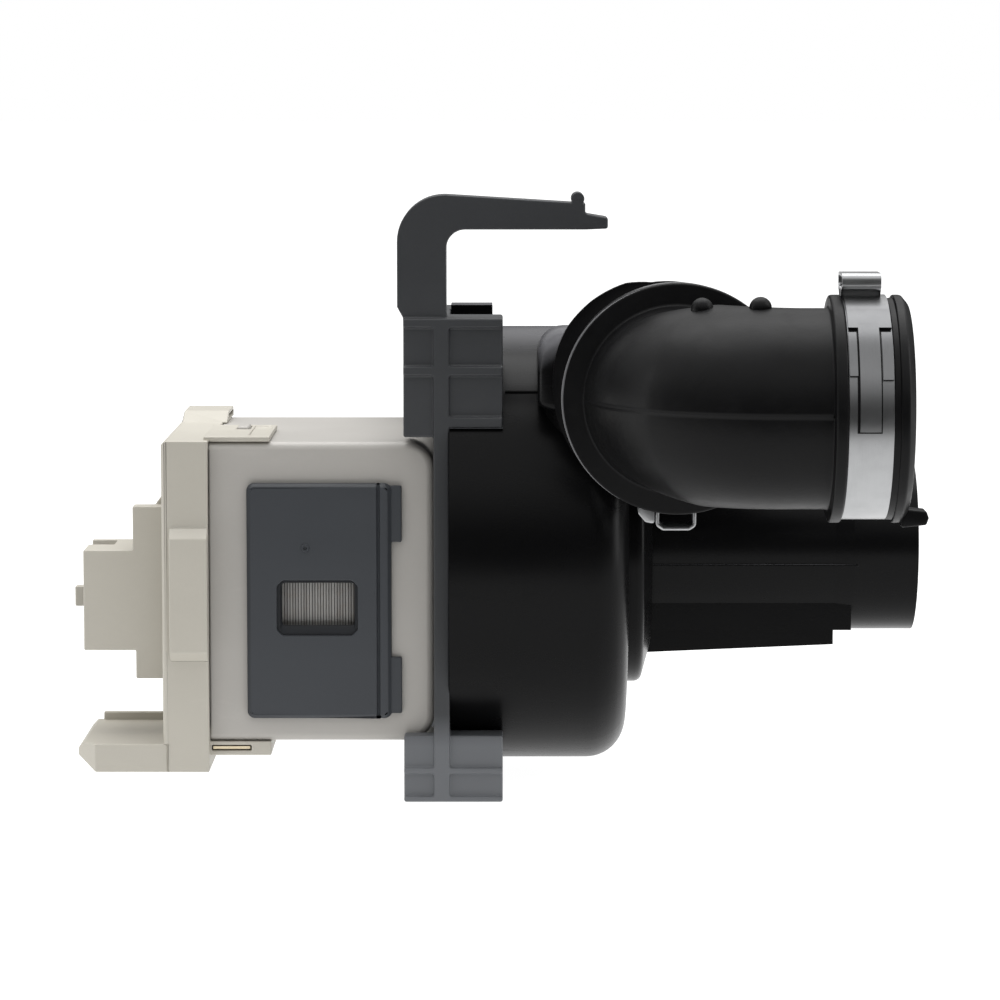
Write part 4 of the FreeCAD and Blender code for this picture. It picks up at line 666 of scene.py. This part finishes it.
class PUMP_OT_elbow(bpy.types.Operator):
    """Build the rubber elbow with its cuffs, beads, mould line, nubs and pull tab"""

    bl_idname = "pump.elbow"
    bl_label = "Outlet elbow"

    port = (-54.7, -45.0, 36.7)
    bend_start = -62.8
    bend_radius = 23.4
    mouth_x = -10.0
    back_lip_rim = ((0, 25.6), (20, 26.4), (32, 26.6), (48, 26.2), (66, 25.4), (78, 23.9),
                    (95, 23.4), (260, 23.4), (300, 24.0), (325, 24.6), (360, 25.6))

    def back_lip(self, angle):
        """Radius of the cuff's back lip, which stands out on the side away from the mouth."""
        for (start, low), (end, high) in zip(self.back_lip_rim, self.back_lip_rim[1:]):
            if angle <= end:
                return low + (high - low) * (angle - start) / (end - start)
        return self.back_lip_rim[-1][1]

    def place(self, run):
        """Centre and outward direction at a distance along the elbow's line."""
        first = self.port[1] - self.bend_start
        quarter = self.bend_radius * math.pi / 2.0
        pivot = Vector((self.port[0] + self.bend_radius, self.bend_start, self.port[2]))
        if run <= first:
            return Vector((self.port[0], self.port[1] - run, self.port[2])), Vector((-1, 0, 0))
        if run <= first + quarter:
            angle = (run - first) / self.bend_radius
            outward = Vector((-math.cos(angle), -math.sin(angle), 0))
            return pivot + outward * self.bend_radius, outward
        along = run - first - quarter
        return pivot + Vector((along, -self.bend_radius, 0)), Vector((0, -1, 0))

    def angles(self):
        """Angles round the section, closer together beside the mould lines."""
        steps = 120
        made = {math.tau * step / steps for step in range(steps)}
        for middle in (0.0, math.pi):
            for away in (0.5, 1.0, 1.5, 2.2):
                made.add((middle + math.radians(away)) % math.tau)
                made.add((middle - math.radians(away)) % math.tau)
        return sorted(made)

    def execute(self, context):
        edges = context.scene.pump_edges
        soft = edges.rubber_round / MM
        ridge = edges.mould_line / MM
        first = self.port[1] - self.bend_start
        quarter = self.bend_radius * math.pi / 2.0
        leg = first + quarter
        end = leg + self.mouth_x - (self.port[0] + self.bend_radius)
        outer = [
            (0.0, 25.4), (2.6, 25.4), (2.6, 22.8, 0.25), (14.8, 22.8, 0.25), (14.8, 24.0),
            (17.6, 24.0, 0.5), (17.8, 19.4, 0.8), (20.4, 18.5, 2.0), (23.0, 18.8, 4.0),
            (first + quarter * 0.5, 20.5, 8.0), (leg, 20.2, 6.0), (leg + 5.5, 20.2, 0.6),
            (leg + 5.6, 22.9), (leg + 8.0, 22.9), (leg + 8.0, 21.8, 0.25),
            (leg + 17.0, 21.8, 0.25), (leg + 17.0, 22.2, 0.4), (leg + 18.2, 22.3, 0.2),
            (leg + 18.3, 22.9, 0.4),
            (end - 1.4, 22.9, 0.9), (end, 21.2, 0.9),
        ]
        inner = [
            (end, 18.8, 0.5), (leg + 2.7, 18.6, 0.3), (leg + 2.7, 15.2, 0.5),
            (15.4, 15.2, 0.5), (15.4, 19.8, 0.2), (0.0, 19.8, 0.5),
        ]
        outline = fillet(outer + inner, soft)
        rounded = []
        for index, (run, radius) in enumerate(outline):
            after_run, after_radius = outline[(index + 1) % len(outline)]
            rounded.append((run, radius))
            pieces = max(1, int(abs(after_run - run) / 1.4))
            for step in range(1, pieces):
                share = step / pieces
                rounded.append((run + (after_run - run) * share,
                                radius + (after_radius - radius) * share))
        bm = bmesh.new()
        rings = []
        for run, radius in rounded:
            centre, outward = self.place(run)
            ring = []
            on_tube = 19.0 < run < leg + 5.2 and radius > 17.0
            for angle in self.angles():
                away = min(abs(math.remainder(angle, math.tau)),
                           abs(math.remainder(angle - math.pi, math.tau)))
                rise = ridge * max(0.0, 1.0 - away / math.radians(1.6)) if on_tube else 0.0
                spoke = outward * math.cos(angle) + Vector((0, 0, 1)) * math.sin(angle)
                spot = centre + spoke * (radius + rise)
                if run < 2.7 and radius > 23.0:
                    spot = centre + spoke * self.back_lip(math.degrees(angle))
                ring.append(bm.verts.new(spot * MM))
            rings.append(ring)
        rings_to_mesh(bm, rings)
        leg_y = self.bend_start - self.bend_radius
        for x, y, z in ((3.9, 3.9, 19.8), (15.4, 0.0, 20.2)):
            knob = Matrix.Translation(Vector((self.port[0] + x, leg_y + y, self.port[2] + z)) * MM)
            bmesh.ops.create_icosphere(bm, subdivisions=3, radius=2.3 * MM, matrix=knob)
        low = self.port[2] - 23.4
        tab = fillet([(-11.3, low), (-6.2, low + 0.5), (-5.7, low + 1.9), (-6.2, low + 3.3),
                      (-11.3, low + 3.8)], 0.5)
        prism(bm, tab, "Y", leg_y - 6.0, leg_y, soft=0.4)
        new_piece("elbow_moulding", bm, "black_rubber", "black_rubber", "outlet_elbow", sharp=50.0)
        self.worn_edge()
        return {"FINISHED"}

    def worn_edge(self):
        """Thin painted highlight along the front edge of the cuff's bead, widest at its middle."""
        centre, outward = self.place(17.35)
        bm = bmesh.new()
        steps = 70
        rings = []
        for step in range(steps + 1):
            share = step / steps
            angle = math.radians(-66.0 + 142.0 * share)
            spoke = outward * math.cos(angle) + Vector((0, 0, 1)) * math.sin(angle)
            thick = 0.06 + 0.24 * math.sin(math.pi * share)
            ring = []
            for turn in range(8):
                around = math.tau * turn / 8
                spot = centre + spoke * (23.86 + math.cos(around) * thick)
                spot.y += math.sin(around) * thick
                ring.append(bm.verts.new(spot * MM))
            rings.append(ring)
        rings_to_mesh(bm, rings, closed=False)
        new_piece("cuff_worn_edge", bm, "highlight_rubber", "black_rubber", sharp=60.0)


class PUMP_OT_clamps(bpy.types.Operator):
    """Build the two ear clamps with their bands, ears, tongues and slots"""

    bl_idname = "pump.clamps"
    bl_label = "Ear clamps"

    def band(self, bm, start, inner, axis, centre, soft, thick=0.8):
        """Ring of strip with eased edges."""
        ring = [(start, inner), (start + 9.0, inner), (start + 9.0, inner + thick),
                (start, inner + thick)]
        lathe(bm, fillet(ring, soft, steps=3), axis, centre, steps=160)

    def patch(self, bm, spans, radii, stations, centre):
        """Curved plate on the band about X: angles in degrees from the front, going up."""
        steps = max(2, int(abs(spans[1] - spans[0]) / 1.5))
        rows = []
        for step in range(steps + 1):
            angle = math.radians(spans[0] + (spans[1] - spans[0]) * step / steps)
            row = []
            for radius, station in ((radii[0], stations[0]), (radii[1], stations[0]),
                                    (radii[1], stations[1]), (radii[0], stations[1])):
                place = (station, centre[1] - math.cos(angle) * radius,
                         centre[2] + math.sin(angle) * radius)
                row.append(bm.verts.new(Vector(place) * MM))
            rows.append(row)
        rings_to_mesh(bm, rows, closed=False)
        caps = [bm.faces.new(rows[0]), bm.faces.new(list(reversed(rows[-1])))]
        bmesh.ops.recalc_face_normals(bm, faces=caps)

    def execute(self, context):
        soft = context.scene.pump_edges.steel_round / MM
        bm = bmesh.new()
        port = (-54.7, 0.0, 36.7)
        self.band(bm, -58.2, 22.8, "Y", port, soft)
        loop = fillet([(-58.2, 14.0), (-59.0, 12.6), (-59.0, 9.8), (-57.6, 8.9), (-52.0, 8.9),
                       (-50.6, 9.8), (-50.6, 12.6), (-51.4, 14.0)], 1.2)
        prism(bm, ribbon(loop, 0.7), "Y", -58.0, -49.4, soft=0.2)
        fold = fillet([(-62.4, 14.6), (-62.7, 12.4), (-61.2, 10.6), (-59.2, 10.2), (-59.2, 12.8),
                       (-60.6, 14.6)], 0.7)
        prism(bm, fold, "Y", -57.4, -50.0, soft=0.2)
        new_piece("port_clamp_band", bm, "clamp_steel", "clamp_steel", "elbow_port_clamp",
                  sharp=40.0)

        bm = bmesh.new()
        leg = (0.0, -86.2, 36.7)
        self.band(bm, -23.3, 21.8, "X", leg, soft, thick=0.4)
        self.patch(bm, (48.8, 92.0), (22.3, 22.95), (-23.0, -14.5), leg)
        self.patch(bm, (-7.0, 52.0), (22.3, 22.95), (-21.1, -17.0), leg)
        self.patch(bm, (21.0, 46.0), (22.3, 22.8), (-23.1, -21.5), leg)
        self.patch(bm, (19.0, 46.0), (22.3, 22.8), (-16.6, -14.5), leg)
        loop = fillet([(-87.4, 59.0), (-87.5, 61.2), (-90.4, 61.4), (-90.4, 63.4), (-82.0, 63.4),
                       (-82.0, 61.4), (-84.9, 61.2), (-85.0, 59.0)], 0.6)
        prism(bm, ribbon(loop, 0.7), "X", -23.4, -15.6, soft=0.2)
        new_piece("end_clamp_band", bm, "clamp_steel", "clamp_steel", "elbow_end_clamp",
                  sharp=40.0)
        # Thin black strips in the slots round the tongue and at the ends of the side plates, drawn
        # as painted shadow lines.
        bm = bmesh.new()
        self.patch(bm, (46.0, 48.8), (22.1, 22.35), (-22.9, -21.1), leg)
        self.patch(bm, (46.0, 48.8), (22.1, 22.35), (-17.0, -14.9), leg)
        self.patch(bm, (-8.0, 46.0), (22.1, 22.35), (-21.6, -21.0), leg)
        self.patch(bm, (-8.0, 46.0), (22.1, 22.35), (-17.1, -16.7), leg)
        self.patch(bm, (-8.0, -6.6), (22.1, 22.35), (-21.6, -16.7), leg)
        new_piece("end_clamp_slots", bm, "black_rubber", "black_rubber", sharp=40.0)
        return {"FINISHED"}


class PUMP_OT_bracket(bpy.types.Operator):
    """Build the slate bracket with its corner blocks and hook arm, and finish its screws"""

    bl_idname = "pump.bracket"
    bl_label = "Mounting bracket"

    def execute(self, context):
        eased_copy("bracket_moulding", "mounting_bracket", "slate_plastic", "slate_plastic",
                   context.scene.pump_edges.moulded_round,
                   cuts=(("Y", 0.0), ("Y", -31.0), ("Y", 31.0)))
        finish_node("bracket_screws", "screw_steel")
        return {"FINISHED"}


class PUMP_OT_motor(bpy.types.Operator):
    """Build the motor case, the side covers and the end cap"""

    bl_idname = "pump.motor"
    bl_label = "Motor case and cap"

    def ledge(self, bm, side):
        """Ledge that runs round inside the window of one side cover, finished darker as painted
        shade.
        """
        def ring(left, right, low, high, corner, depth):
            outline = fillet([(left, low, corner), (right, low, corner),
                              (right, high, corner), (left, high, corner)], 0.5)
            return [bm.verts.new(Vector((x, depth * side, z)) * MM) for x, z in outline]

        window = (-139.45, -122.05, -16.45, -4.45, 1.2)
        opening = (-138.4, -122.8, -14.4, -5.15, 0.8)
        rings_to_mesh(bm, [ring(*window, 33.0), ring(*window, 34.5),
                           ring(-138.75, -122.6, -15.6, -5.0, 0.9, 34.5),
                           ring(*opening, 33.9), ring(*opening, 33.0)])

    def execute(self, context):
        width = context.scene.pump_edges.moulded_round
        eased_copy("case_moulding", "stator_case", "offwhite_plastic", "offwhite_plastic", width,
                   cuts=(("X", -130.0), ("Y", 0.0), ("Z", -8.0)))
        cover_cuts = (("X", -130.7), ("Z", -10.4))
        for name, node in (("side_cover_near", "core_cover_front"),
                           ("side_cover_far", "core_cover_rear")):
            eased_copy(name, node, "side_slate", "slate_plastic", width * 0.7, cuts=cover_cuts)
        bm = bmesh.new()
        for side in (-1.0, 1.0):
            face, rise = 35.1 * side, 35.5 * side
            rim = [(face, 0.3), (rise, 0.45), (rise, 0.8), (face, 1.05)]
            lathe(bm, rim, "Y", (-133.3, 0.0, 2.5), steps=24)
        new_piece("cover_gate_marks", bm, "side_slate", "slate_plastic")
        bm = bmesh.new()
        self.ledge(bm, -1.0)
        self.ledge(bm, 1.0)
        # The ledges are finished in a darker slate, as painted shade inside the windows.
        new_piece("cover_window_ledges", bm, "shaded_ledge_slate", "slate_plastic")
        eased_copy("cap_moulding", "motor_end_cap", "cream_plastic", "cream_plastic", width * 0.6,
                   cuts=(("Y", -9.5), ("Y", 21.5), ("Y", 26.0), ("Y", 31.0), ("Z", -20.0)))
        finish_node("connector_terminals", "tinned_contact")
        finish_node("strap_contact", "brass_contact")
        return {"FINISHED"}


class PUMP_OT_winding(bpy.types.Operator):
    """Finish the iron core and its bobbin, and wind the coil"""

    bl_idname = "pump.winding"
    bl_label = "Core and winding"

    def execute(self, context):
        finish_node("stator_core", "core_steel")
        finish_node("coil_bobbin", "bobbin_plastic")
        low, high = millimetres("stator_coil")
        core_low, core_high = millimetres("stator_core")
        wire = 0.8
        turns = int((high.y - low.y) / wire)
        outer = fillet([(low.x, low.z), (high.x, low.z), (high.x, high.z), (low.x, high.z)], 1.5)
        inset = 1.4
        inner_low, inner_high = core_low.x - inset, core_high.x + inset
        inner = [(inner_low, low.z + 3.4), (inner_high, low.z + 3.4),
                 (inner_high, high.z - 4.2), (inner_low, high.z - 4.2)]
        inner = fillet(inner, 0.6)
        middle = Vector(((low.x + high.x) / 2.0, (low.z + high.z) / 2.0))
        bm = bmesh.new()
        rings = []
        samples = 6
        for index in range(turns * samples + 1):
            share = index / (turns * samples)
            y = low.y + (high.y - low.y) * share
            rise = abs(math.sin(math.pi * index / samples)) * wire * 0.3 - wire * 0.3
            ring = []
            for x, z in outer:
                spot = Vector((x, z))
                spot += (spot - middle).normalized() * rise
                ring.append(bm.verts.new(Vector((spot.x, y, spot.y)) * MM))
            rings.append(ring)
        rings_to_mesh(bm, rings, closed=False)
        inside = []
        for y in (low.y, high.y):
            inside.append([bm.verts.new(Vector((x, y, z)) * MM) for x, z in inner])
        rings_to_mesh(bm, inside, closed=False)
        for rim, hole in ((rings[0], inside[0]), (rings[-1], inside[-1])):
            rings_to_mesh(bm, [rim, hole], closed=False)
        new_piece("coil_turns", bm, "copper_winding", "copper_winding", "stator_coil", sharp=60.0)
        return {"FINISHED"}


class PUMP_OT_rotor(bpy.types.Operator):
    """Finish the can, the bearings, the wear ring and everything that turns"""

    bl_idname = "pump.rotor"
    bl_label = "Rotor and bearings"

    def execute(self, context):
        for node, key in (
                ("rotor_can", "can_steel"), ("front_bearing_holder", "impeller_plastic"),
                ("front_bearing", "bearing_carbon"), ("rear_bearing_holder", "seal_rubber"),
                ("rear_bearing", "bearing_carbon"), ("wear_ring", "can_steel"),
                ("shaft", "shaft_steel"), ("rotor_core", "core_steel"),
                ("rotor_magnet", "magnet_ferrite"), ("rotor_sleeve", "can_steel"),
                ("thrust_washers", "bearing_carbon"), ("impeller", "impeller_plastic"),
                ("impeller_shroud", "impeller_plastic"), ("impeller_nut", "shaft_steel")):
            finish_node(node, key)
        return {"FINISHED"}


class PUMP_OT_studio(bpy.types.Operator):
    """Set the floor, the soft lights, the sky and the camera"""

    bl_idname = "pump.studio"
    bl_label = "Studio"

    def lamp(self, name, place, target, width, height, power):
        """Soft rectangular light that faces a point."""
        data = bpy.data.lights.new(name, "AREA")
        data.shape = "RECTANGLE"
        data.size, data.size_y = width, height
        data.energy = power
        lamp = bpy.data.objects.new(name, data)
        bpy.context.scene.collection.objects.link(lamp)
        lamp.location = place
        lamp.rotation_euler = (Vector(target) - Vector(place)).to_track_quat("-Z", "Y").to_euler()

    def sky(self, studio):
        """Pale sky, bright overhead and dim at the level of the object."""
        world = bpy.data.worlds.new("studio_sky")
        world.use_nodes = True
        tree = world.node_tree
        tree.nodes.clear()
        nodes = NodeTree(tree)
        where = nodes.node("ShaderNodeTexCoord", output="Generated")
        height = nodes.node("ShaderNodeSeparateXYZ", sockets={0: where}, output="Z")
        above = nodes.ramp(height, (0.18, 0.0), (0.62, 1.0))
        light = above * (studio.sky_strength - studio.belt_strength) + studio.belt_strength
        seen = nodes.node("ShaderNodeLightPath", output="Is Camera Ray")
        lit = nodes.node("ShaderNodeBackground", sockets={"Color": (1.0, 1.0, 1.0, 1.0),
                                                           "Strength": light})
        pale = nodes.node("ShaderNodeBackground", sockets={"Color": (1.0, 1.0, 1.0, 1.0),
                                                            "Strength": 1.0})
        both = nodes.node("ShaderNodeMixShader", sockets={0: seen, 1: lit, 2: pale})
        nodes.node("ShaderNodeOutputWorld", sockets={"Surface": both})
        bpy.context.scene.world = world

    def execute(self, context):
        scene = context.scene
        studio = scene.pump_studio
        scene.view_settings.view_transform = "Standard"
        self.sky(studio)
        reach = studio.floor_reach
        ground = cad_bounds[0].z - 0.4 * MM
        bm = bmesh.new()
        front = -studio.floor_front
        corners = [(-reach, front), (reach, front), (reach, reach), (-reach, reach)]
        bm.faces.new([bm.verts.new((x, y, ground)) for x, y in corners])
        mesh = bpy.data.meshes.new("studio_floor")
        bm.to_mesh(mesh)
        bm.free()
        floor = bpy.data.objects.new("studio_floor", mesh)
        scene.collection.objects.link(floor)
        paper = Finish("studio_paper", Roughness=0.85, Specular_IOR_Level=0.0,
                       Emission_Strength=1.0)
        fibre = paper.noise(40.0, detail=3.0)
        paper.feed(Base_Color=paper.mix(fibre, (0.25, 0.25, 0.25), (0.27, 0.27, 0.27)),
                   Emission_Color=paper.mix(fibre, (0.99, 0.99, 0.99), (0.98, 0.98, 0.98)))
        mesh.materials.append(paper.material)
        middle = (-0.09, -0.02, 0.0)
        self.lamp("top_softbox", (-0.1, 0.15, 0.95), middle, 1.1, 0.8, 8.0)
        self.lamp("right_strip", (0.75, -0.1, 0.25), middle, 0.25, 0.9, 3.0)
        self.lamp("left_strip", (-0.95, 0.02, 0.12), middle, 0.12, 0.8, 1.2)
        lens = bpy.data.cameras.new("photo_camera")
        lens.sensor_width = 36.0
        lens.lens = 144.0
        lens.clip_start, lens.clip_end = 0.01, 100.0
        camera = bpy.data.objects.new("photo_camera", lens)
        scene.collection.objects.link(camera)
        aim = Vector((-91.5, 0.0, 9.2)) * MM
        pitch = studio.camera_pitch
        back = Vector((0.0, -math.cos(pitch), math.sin(pitch)))
        camera.location = aim + back * studio.camera_distance
        camera.rotation_euler = (math.pi / 2.0 - pitch, 0.0, 0.0)
        scene.camera = camera
        return {"FINISHED"}


OPERATORS = (PUMP_OT_housing, PUMP_OT_elbow, PUMP_OT_clamps, PUMP_OT_bracket, PUMP_OT_motor,
             PUMP_OT_winding, PUMP_OT_rotor, PUMP_OT_studio)


class PUMP_PT_sidebar(bpy.types.Panel):
    """List of the pump's build steps"""

    bl_idname = "PUMP_PT_sidebar"
    bl_label = "Pump motor"
    bl_space_type = "VIEW_3D"
    bl_region_type = "UI"
    bl_category = "Pump motor"

    def draw(self, context):
        for operator in OPERATORS:
            self.layout.operator(operator.bl_idname)
        for name, _ in GROUPS:
            group = getattr(context.scene, name)
            column = self.layout.column()
            for key in group.bl_rna.properties.keys():
                if key not in ("rna_type", "name"):
                    column.prop(group, key)


GROUPS = (("pump_colours", PumpColours), ("pump_edges", PumpEdges), ("pump_studio", PumpStudio))


def register():
    for name, group in GROUPS:
        bpy.utils.register_class(group)
        setattr(bpy.types.Scene, name, PointerProperty(type=group))
    for item in (*OPERATORS, PUMP_PT_sidebar):
        bpy.utils.register_class(item)


def unregister():
    for item in reversed((*OPERATORS, PUMP_PT_sidebar)):
        bpy.utils.unregister_class(item)
    for name, group in reversed(GROUPS):
        delattr(bpy.types.Scene, name)
        bpy.utils.unregister_class(group)


def main():
    register()
    bpy.ops.pump.studio()
    bpy.ops.pump.housing()
    bpy.ops.pump.elbow()
    bpy.ops.pump.clamps()
    bpy.ops.pump.bracket()
    bpy.ops.pump.motor()
    bpy.ops.pump.winding()
    bpy.ops.pump.rotor()


if __name__ == "__main__":
    main()
